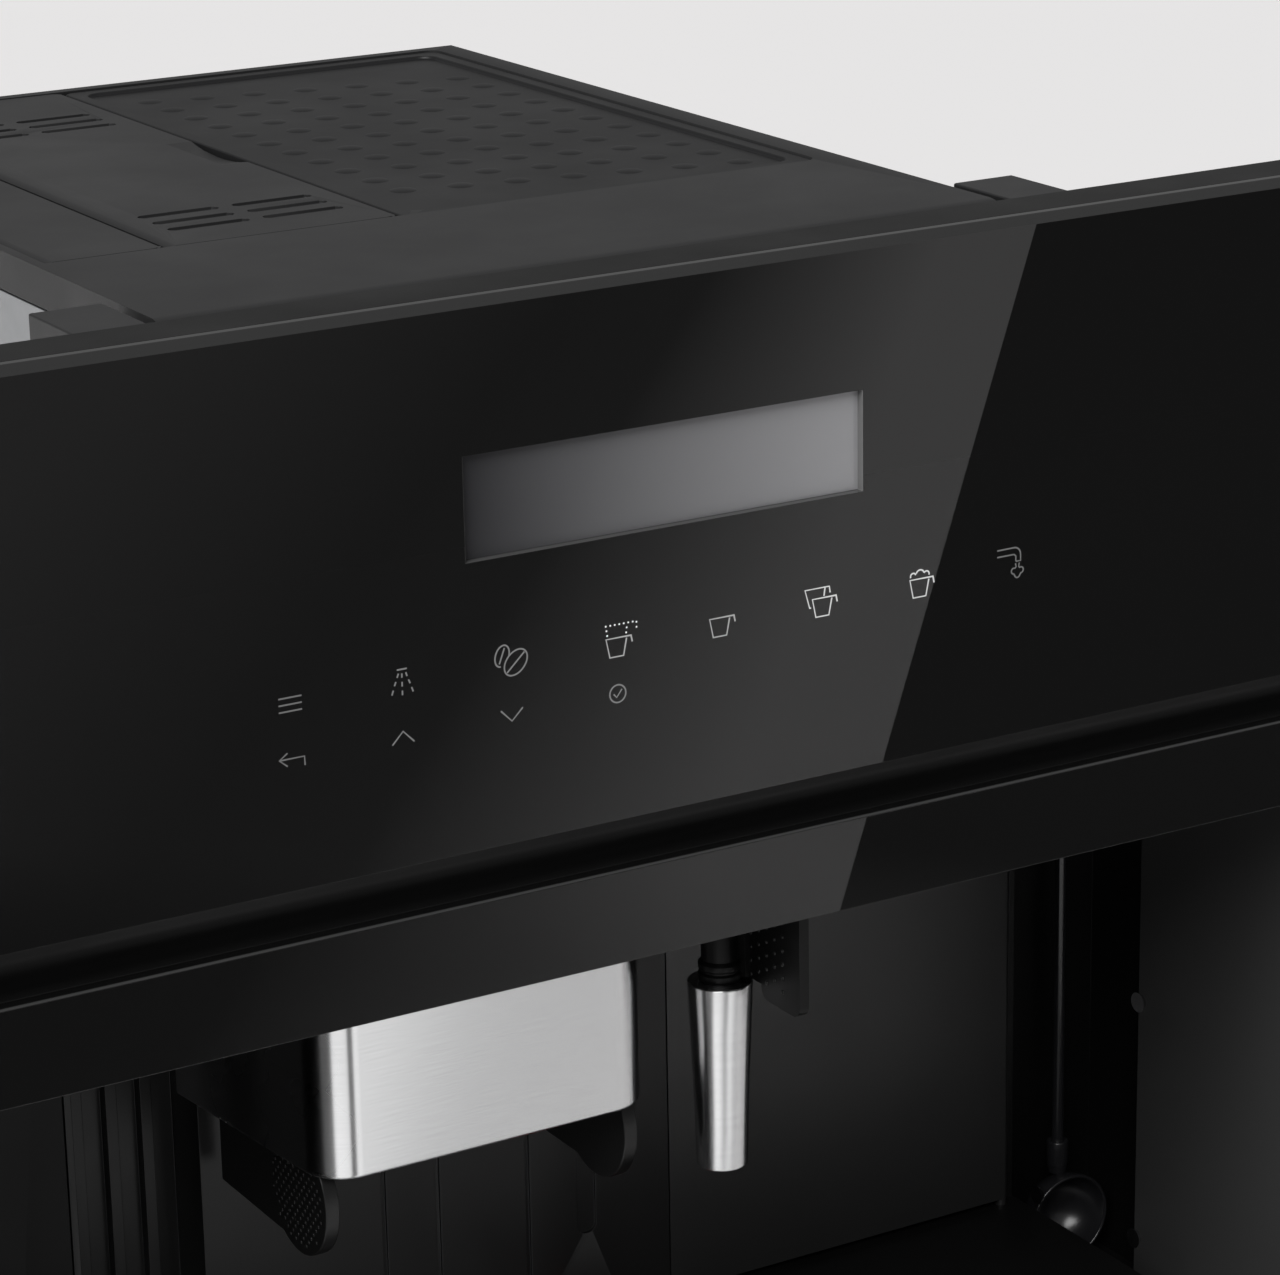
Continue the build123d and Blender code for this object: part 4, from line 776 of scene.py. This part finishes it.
sleeve_profile = (
    [(5.1, 215.7)]
    + round_off((9.7, 215.0), 0.7, 90, -2)
    + [(9.75, 200), (9.0, 182), (8.5, 167)]
    + round_off((7.3, 153.9), 0.9, 2, -90)
    + [(3.0, 153.0), (3.0, 155.0), (6.8, 155.0), (8.0, 190), (8.8, 209.0), (5.1, 210.0)]
)
sleeve = turned("wand_sleeve_steel", sleeve_profile, WAND)
dress(sleeve, "wand_sleeve", "brushed_steel", FINISH["brushed_steel"], "wand_sleeve")
print("sleeve faces", len(sleeve.data.polygons))

# %% [markdown]
# ## The measuring scoop
# A thin rod ends in a round bowl that faces forwards, and hangs from a peg in the narrow bay. The bowl is
# turned about a lying axis with a soft lip, and the rod is a round curve along a given route up to its
# hook, made a mesh once it lies in place.

# %% Scoop bowl, collar and rod
SCOOP_ROD = (252.5, 150)
SCOOP_RIM = (142, 38.3)
SCOOP_RADIUS, SCOOP_WALL = 17, 1.4
LIP = SCOOP_WALL / 2
ROD_RADIUS = 2.25
ROD_FOOT = 53.6
HOOK_TOP, HOOK_RADIUS, HOOK_TIP = 262, 6, 255
HOOK_STEPS = 12

bowl_profile = (
    round_off((0, SCOOP_RIM[0]), SCOOP_RADIUS, 90, 0, 12)
    + round_off((SCOOP_RADIUS - LIP, SCOOP_RIM[0]), LIP, 0, -180, 6)[1:-1]
    + round_off((0, SCOOP_RIM[0]), SCOOP_RADIUS - SCOOP_WALL, 0, 90, 12)
)
bowl = turned("scoop_bowl", bowl_profile, (SCOOP_ROD[0], SCOOP_RIM[1]), lying=True)
collar_profile = (
    [(2.1, 54.4), (3.4, 54.4)]
    + round_off((3.4, 58.0), 0.6, -30, 0, 2)
    + round_off((3.4, 66.4), 0.6, 0, 90, 3)
    + [(2.1, 67)]
)
collar = turned("scoop_collar", collar_profile, SCOOP_ROD, 32)

rod_curve = bpy.data.curves.new("scoop_rod", "CURVE")
rod_curve.dimensions = "3D"
rod_curve.bevel_depth = ROD_RADIUS * MM
rod_curve.bevel_resolution = 4
rod_curve.use_fill_caps = True
rod_line = rod_curve.splines.new("POLY")
hook = round_off((SCOOP_ROD[0] + HOOK_RADIUS, HOOK_TOP), HOOK_RADIUS, 180, 0, HOOK_STEPS)[1:]
rod_route = [(SCOOP_ROD[0], ROD_FOOT), (SCOOP_ROD[0], HOOK_TOP), *hook, (hook[-1][0], HOOK_TIP)]
rod_line.points.add(len(rod_route) - 1)
for spot, (x, z) in zip(rod_line.points, rod_route):
    spot.co = (*at(x, SCOOP_ROD[1], z), 1)
rod = bpy.data.objects.new("scoop_rod", rod_curve)
bpy.context.scene.collection.objects.link(rod)
rod_mesh = bpy.data.meshes.new_from_object(rod.evaluated_get(bpy.context.evaluated_depsgraph_get()))
bpy.data.objects.remove(rod)
rod_mesh.name = "scoop_rod"
shade(rod_mesh, angle=40)
rod = new_object("scoop_rod_round", rod_mesh)

dress(bowl, "scoop", "scoop_plastic", FINISH["scoop_plastic"], "scoop")
for piece in (collar, rod):
    dress(piece, "scoop", "scoop_plastic", FINISH["scoop_plastic"])
print("scoop faces", len(bowl.data.polygons) + len(rod.data.polygons))


# %% [markdown]
# ## Touch symbols
# The symbols are printed on the back of the glass and lit from behind, and one dotted sign is plain pale
# print. Each is a handful of strokes, given here as points in millimetres across the panel. A geometry
# node tree turns the strokes into flat ribbons of one width, so the line weight of the whole panel is a
# single number. A second tree sets round dots along a stroke.

# %% A small library of strokes
def bend(x, z, radius, start, end, steps=12, squash=1.0, lean=0.0):
    """Points on an arc or a leaning ellipse, in panel millimetres."""
    c, s = math.cos(math.radians(lean)), math.sin(math.radians(lean))
    points = round_off((0, 0), radius, start, end, steps)
    return [(x + across * squash * c - up * s, z + across * squash * s + up * c) for across, up in points]


def cup(x, z, width=7.0, depth=5.7):
    """A cup with a hooked handle at its upper right: left rim x, height of the rim z."""
    right = x + width
    foot = width * 0.17
    low = z - depth
    wall = [(x + width * 0.985, z - 0.5), (right - foot, low), (x + foot, low), (x, z), (right + 1.6, z)]
    return [wall, [(right + 1.4, z), (right + 1.8, z - 2.0)]]


ROW = 348.4
SYMBOLS = {
    "bright": cup(48.9, ROW)
    + [
        [(48.4, 345.9), (47.9, 345.9), (46.3, 351.6), (54.9, 351.6), (55.2, 349.6)],
        [(53.4, 351.5), (53.0, 348.9)],
    ]
    + cup(83.9, ROW)
    + [
        bend(85.1, 349.5, 1.0, 200, 20, 8),
        bend(87.6, 349.7, 1.5, 160, 20, 10),
        bend(89.9, 349.5, 1.0, 150, -20, 8),
    ],
    "middle": cup(13.0, ROW) + cup(-22.2, ROW),
    "dim": [
        [(-90.3, 351.5), (-87.1, 351.5)],
        [(-89.8, 350.4), (-90.3, 349.2)],
        [(-90.7, 348.1), (-91.2, 346.9)],
        [(-91.6, 345.7), (-92.1, 344.3)],
        [(-88.75, 350.3), (-88.75, 349.0)],
        [(-88.75, 347.8), (-88.75, 346.4)],
        [(-88.75, 345.2), (-88.75, 343.8)],
        [(-87.5, 350.4), (-87.1, 349.2)],
        [(-86.7, 348.1), (-86.2, 346.9)],
        [(-85.8, 345.7), (-85.3, 344.3)],
        bend(-56.5, 349.6, 3.25, 10, 285, 26, 0.68, -20),
        [(-57.5, 347.3), (-55.7, 351.9)],
        bend(-52.1, 347.0, 4.35, 0, 360, 32, 0.72, -45),
        [(-55.0, 344.3), (-49.2, 349.7)],
        [(-57.4, 333.2), (-53.85, 329.6), (-50.2, 333.1)],
        [(-92.5, 329.5), (-89.0, 333.1), (-85.5, 329.5)],
        bend(-18.6, 331.4, 2.7, 0, 360, 28),
        [(-20.0, 331.4), (-19.0, 330.3), (-17.2, 332.6)],
    ],
    "faint": [
        [(-127.9, 331.7), (-120.1, 331.7), (-120.0, 329.0)],
        [(-125.3, 333.5), (-127.9, 331.7), (-125.4, 329.6)],
        [(-127.4, 349.6), (-120.2, 349.6)],
        [(-127.4, 347.6), (-120.2, 347.6)],
        [(-127.4, 345.6), (-120.2, 345.6)],
        [(116.0, 352.4)] + bend(122.4, 350.1, 2.35, 90, 0, 6) + [(124.8, 348.0), (123.0, 348.0)],
        [(123.0, 348.0), (123.0, 349.7), (122.3, 350.3), (116.0, 350.3)],
        [(122.9, 347.4), (123.1, 346.2)]
        + bend(122.3, 345.0, 0.95, 60, 270, 8)
        + bend(123.6, 343.7, 0.95, 200, 340, 8)
        + bend(124.9, 345.0, 0.95, -90, 120, 8)
        + [(124.1, 346.2), (124.3, 347.4)],
    ],
}
DOTTED = [
    [(-22.2, 352.4), (-11.9, 352.4), (-11.9, 350.6)],
    [(-22.0, 351.0), (-21.8, 349.5)],
    [(-15.2, 351.0), (-15.4, 349.5)],
]
BRIGHTNESS = {"bright": 0.62, "middle": 0.36, "dim": 0.16, "faint": 0.115}
print("strokes", sum(len(group) for group in SYMBOLS.values()) + len(DOTTED))


# %% Helpers for geometry node trees
def tree_with(name, kinds):
    """A geometry node tree with named inputs; returns it with what its input node gives."""
    tree = bpy.data.node_groups.new(name, "GeometryNodeTree")
    tree.interface.new_socket("Geometry", in_out="OUTPUT", socket_type="NodeSocketGeometry")
    for title, kind in {"Geometry": "Geometry", **kinds, "Material": "Material"}.items():
        tree.interface.new_socket(title, in_out="INPUT", socket_type="NodeSocket" + kind)
    return tree, add_node(tree, "NodeGroupInput").outputs


def add_step(tree, kind, inputs=None, **settings):
    """Adds a node and returns its first output."""
    return add_node(tree, kind, inputs, **settings).outputs[0]


def vector(tree, **parts):
    """A vector from its parts x, y and z, which are numbers or sockets."""
    return add_step(tree, "ShaderNodeCombineXYZ", {axis.upper(): part for axis, part in parts.items()})


def finished(tree, given, geometry):
    """Closes a tree with Realize Instances and Set Material."""
    real = add_step(tree, "GeometryNodeRealizeInstances", {"Geometry": geometry})
    painted = add_step(tree, "GeometryNodeSetMaterial", {"Geometry": real, "Material": given["Material"]})
    add_node(tree, "NodeGroupOutput", {"Geometry": painted})


def grown(piece, tree, values):
    """Runs a tree on a piece with its inputs set by identifier, and leaves a plain mesh."""
    modifier = piece.modifiers.new(tree.name, "NODES")
    modifier.node_group = tree
    for item in tree.interface.items_tree:
        if item.item_type == "SOCKET" and item.in_out == "INPUT" and item.name in values:
            modifier[item.identifier] = values[item.name]
    return baked(piece)


# %% Two node trees: ribbons and dots along strokes
def pressed(tree, given, geometry):
    """Presses a shape flat and moves it to the front of the glass."""
    sockets = {
        "Geometry": geometry,
        "Scale": vector(tree, x=1, y=given["Flatness"], z=1),
        "Translation": vector(tree, y=given["Front"]),
    }
    return add_step(tree, "GeometryNodeTransform", sockets)


ribbon, given = tree_with("flat ribbons", {"Width": "Float", "Flatness": "Float", "Front": "Float"})
stroke = add_step(ribbon, "GeometryNodeMeshToCurve", {"Mesh": given["Geometry"]})
half_width = product(ribbon, given["Width"], 0.5)
section = add_step(ribbon, "GeometryNodeCurvePrimitiveCircle", {"Resolution": 8, "Radius": half_width})
tube = {"Curve": stroke, "Profile Curve": section, "Fill Caps": True}
finished(ribbon, given, pressed(ribbon, given, add_step(ribbon, "GeometryNodeCurveToMesh", tube)))

beads, given = tree_with(
    "dots along strokes", {"Width": "Float", "Spacing": "Float", "Flatness": "Float", "Front": "Float"}
)
stroke = add_step(beads, "GeometryNodeMeshToCurve", {"Mesh": given["Geometry"]})
spots = {"Curve": stroke, "Length": given["Spacing"]}
spots = add_step(beads, "GeometryNodeCurveToPoints", spots, mode="LENGTH")
half_width = product(beads, given["Width"], 0.5)
bead = add_step(beads, "GeometryNodeMeshIcoSphere", {"Subdivisions": 2, "Radius": half_width})
row = add_step(beads, "GeometryNodeInstanceOnPoints", {"Points": spots, "Instance": bead})
row = add_step(beads, "GeometryNodeRealizeInstances", {"Geometry": row})
finished(beads, given, pressed(beads, given, row))
print("trees", ribbon.name, beads.name)


# %% The lit symbols on the glass
def lit(name, strength):
    """White print lit from behind, under the same sharp gloss as the glass."""
    look = {"Roughness": 0.003, "Emission Color": (1, 1, 1, 1), "Emission Strength": strength}
    finish, tree, shader = shader_of(name, look)
    tones = two_tones(tree, pattern(tree, 200), (0.02, 0.02, 0.02), (0.03, 0.03, 0.03))
    feed(tree, shader, {"Base Color": tones})
    return finish


def strokes(name, lines):
    """A mesh of edges only, upright in the plane y = 0."""
    mesh = bpy.data.meshes.new(name)
    points, edges = [], []
    for line in lines:
        edges += [(len(points) + i, len(points) + i + 1) for i in range(len(line) - 1)]
        points += [(x * MM, 0, z * MM) for x, z in line]
    mesh.from_pydata(points, edges, [])
    return new_object(name, mesh)


PRINT = {"Width": 0.5 * MM, "Flatness": 0.06, "Front": GLASS_FRONT}
DOT_PRINT = {**PRINT, "Width": 0.62 * MM, "Spacing": 1.4 * MM}
DOT_LOOK = {"Base Color": (0.8, 0.8, 0.8, 1), "Roughness": 1, "Specular IOR Level": 0}


def printed(name, lines, tree, look, finish):
    """Symbols as a piece on the glass."""
    mark = grown(strokes(name, lines), tree, {**look, "Material": finish})
    return dress(mark, "machine", "black_glass", finish)


for shine, lines in SYMBOLS.items():
    printed("symbols_" + shine, lines, ribbon, PRINT, lit("print " + shine, BRIGHTNESS[shine]))
printed("symbols_dotted", DOTTED, beads, DOT_PRINT, shader_of("print dots", DOT_LOOK)[0])

# %% [markdown]
# ## Bumps, grips and other fields of dots
# The cup plate is dotted so that a wet cup doesn't stick, and the wand's paddle and the spout's two grips
# are dotted for the fingers. They are the same idea at three sizes: a lattice of small domes. One node
# tree makes them all from the pitch, the counts, the stagger and the dome's radius and height.

# %% A tree for a lattice of domes
FIELD_INPUTS = {
    "Pitch Across": "Float",
    "Pitch Along": "Float",
    "Count Across": "Int",
    "Count Along": "Int",
    "Drift": "Float",
    "Stagger": "Float",
    "Radius": "Float",
    "Height": "Float",
    "Reach": "Float",
    "Place": "Vector",
    "Turn": "Rotation",
}
field, given = tree_with("lattice of domes", FIELD_INPUTS)


def extent(way):
    """The length of the whole lattice across or along."""
    return product(field, given["Pitch " + way], number(field, "SUBTRACT", given["Count " + way], 1))


lattice = {
    "Size X": extent("Across"),
    "Size Y": extent("Along"),
    "Vertices X": given["Count Across"],
    "Vertices Y": given["Count Along"],
}
points = add_step(field, "GeometryNodeMeshGrid", lattice)
place = add_step(field, "GeometryNodeInputPosition")
from_left = number(
    field, "ADD", add_step(field, "ShaderNodeSeparateXYZ", {0: place}), product(field, lattice["Size X"], 0.5)
)
column = number(field, "ROUND", number(field, "DIVIDE", from_left, given["Pitch Across"]))
drift = product(field, column, given["Drift"])
odd = product(field, number(field, "MODULO", column, 2), given["Stagger"])
shift = vector(field, y=number(field, "ADD", drift, odd))
points = add_step(field, "GeometryNodeSetPosition", {"Geometry": points, "Offset": shift})
far = add_node(field, "ShaderNodeVectorMath", {0: place}, operation="LENGTH").outputs["Value"]
outside = {0: far, 1: given["Reach"]}
outside = add_step(field, "FunctionNodeCompare", outside, data_type="FLOAT", operation="GREATER_THAN")
points = add_step(field, "GeometryNodeDeleteGeometry", {"Geometry": points, "Selection": outside})
dome = add_step(field, "GeometryNodeMeshUVSphere", {"Segments": 14, "Rings": 8, "Radius": given["Radius"]})
low = vector(field, x=1, y=1, z=number(field, "DIVIDE", given["Height"], given["Radius"]))
dots = add_step(field, "GeometryNodeInstanceOnPoints", {"Points": points, "Instance": dome, "Scale": low})
settled = {"Geometry": dots, "Translation": given["Place"], "Rotation": given["Turn"]}
finished(field, given, add_step(field, "GeometryNodeTransform", settled))
print("inputs of the lattice", len(FIELD_INPUTS))


WHOLE = 999  # a reach beyond every field, which cuts nothing


def domes(
    name,
    body,
    finish,
    pitch,
    count,
    radius,
    height,
    place,
    turn=(0, 0, 0),
    drift=0.0,
    stagger=0.0,
    reach=WHOLE,
):
    """A field of domes on a body's surface, in millimetres, cut to a round patch by its reach."""
    values = {
        "Pitch Across": pitch[0] * MM,
        "Pitch Along": pitch[1] * MM,
        "Count Across": count[0],
        "Count Along": count[1],
        "Drift": drift * MM,
        "Stagger": stagger * MM,
        "Radius": radius * MM,
        "Height": height * MM,
        "Reach": reach * MM,
        "Place": at(*place),
        "Turn": tuple(math.radians(a) for a in turn),
        "Material": FINISH[finish],
    }
    piece = grown(new_object(name, bpy.data.meshes.new(name)), field, values)
    shade(piece.data, angle=60)
    slot = "deck_plastic" if finish == "plate_plastic" else finish
    return dress(piece, body, slot, FINISH[finish])


# %% Bumps on the cup plate, dots on the paddle and the grips
PLATE_FACE = 450.2
UPRIGHT = (90, 0, 90)
GRIP_HALF = 55
bumps = domes(
    "cup_plate_bumps",
    "machine",
    "plate_plastic",
    pitch=(18.6, 19.3),
    count=(7, 11),
    radius=6.0,
    height=1.5,
    place=(58.2, 262.0, PLATE_FACE - 0.95),
    drift=-3.8,
)
domes(
    "paddle_dots",
    "wand",
    "black_plastic",
    pitch=(4.6, 4.6),
    count=(5, 6),
    radius=0.75,
    height=0.45,
    place=(46.9, 24.2, 229.5),
    turn=UPRIGHT,
    stagger=2.3,
)
for side, sign in (("left", -1), ("right", 1)):
    domes(
        "spout_grip_dots_" + side,
        "spout",
        "black_plastic",
        pitch=(1.8, 4.0),
        count=(21, 10),
        radius=0.7,
        height=0.4,
        place=(SPOUT_X + sign * GRIP_HALF, 66.0, 167.0),
        turn=UPRIGHT,
        stagger=2.0,
        reach=17.5,
    )
print("bump faces", len(bumps.data.polygons))

# %% [markdown]
# ## Screws
# The sheet metal casing is held by pan head screws with a cross recess. They are all one screw, so a node
# tree sets it on a list of places: a low tapered head, with a thin cross on its top that marks the
# recess. The places lie on the face that the screws hold, a little in from its edges, and a turn lays the
# whole set on a side.

# %% A tree for a set of screws
screws, given = tree_with(
    "set of screws", {"Radius": "Float", "Height": "Float", "Place": "Vector", "Turn": "Rotation"}
)
head = {
    "Vertices": 24,
    "Radius Bottom": given["Radius"],
    "Radius Top": product(screws, given["Radius"], 0.72),
    "Depth": given["Height"],
}
head = add_step(screws, "GeometryNodeMeshCone", head)
screw = add_node(screws, "GeometryNodeJoinGeometry", {"Geometry": head})
bar_long, bar_short = (product(screws, given["Radius"], share) for share in (0.95, 0.2))
bar_high = product(screws, given["Height"], 0.1)
bar_place = vector(screws, z=product(screws, given["Height"], 1.02))
for across, along in ((bar_long, bar_short), (bar_short, bar_long)):
    bar = add_step(screws, "GeometryNodeMeshCube", {"Size": vector(screws, x=across, y=along, z=bar_high)})
    bar = add_step(screws, "GeometryNodeTransform", {"Geometry": bar, "Translation": bar_place})
    feed(screws, screw, {"Geometry": bar})
screw_row = {"Points": given["Geometry"], "Instance": screw.outputs["Geometry"]}
laid = {
    "Geometry": add_step(screws, "GeometryNodeInstanceOnPoints", screw_row),
    "Translation": given["Place"],
    "Rotation": given["Turn"],
}
finished(screws, given, add_step(screws, "GeometryNodeTransform", laid))

# %% Screws on the back and on the two casings
BACK_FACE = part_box("rear_panel")[1].y
SIDE_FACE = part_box("right_casing")[1].x
BACK_SCREWS = [(224, 236), (224, 145), (224, 58), (150, 14), (130, 428), (130, 300)]
SIDE_SCREWS = [(-118, 150), (-118, 60), (180, 60), (-60, 54), (60, 54)]
UPPER_SCREWS = [(-90, 428), (60, 428), (180, 428), (180, 290)]
UPPER_FACE = 140 * MM


def screw_set(name, places, place, turn):
    """Screws at (across, up) places in millimetres on one face of the casing."""
    base = bpy.data.meshes.new(name)
    base.from_pydata([(x * MM, z * MM, 0) for x, z in places], [], [])
    values = {
        "Radius": 3.6 * MM,
        "Height": 1.7 * MM,
        "Place": place,
        "Turn": tuple(math.radians(a) for a in turn),
        "Material": FINISH["machined_steel"],
    }
    piece = grown(new_object(name, base), screws, values)
    return dress(piece, "machine", "machined_steel", FINISH["machined_steel"])


both_sides = [(side * x, z) for side in (1, -1) for x, z in BACK_SCREWS]
turned_over = [(-x, z) for x, z in UPPER_SCREWS]
screw_sets = [
    screw_set("screws_back", both_sides, Vector((0, BACK_FACE, 0)), (90, 0, 180)),
    screw_set("screws_right", SIDE_SCREWS, Vector((SIDE_FACE, 0, 0)), UPRIGHT),
    screw_set("screws_right_top", UPPER_SCREWS, Vector((UPPER_FACE, 0, 0)), UPRIGHT),
    screw_set("screws_left_top", turned_over, Vector((-UPPER_FACE, 0, 0)), (90, 0, -90)),
]
print("screw faces", sum(len(piece.data.polygons) for piece in screw_sets))
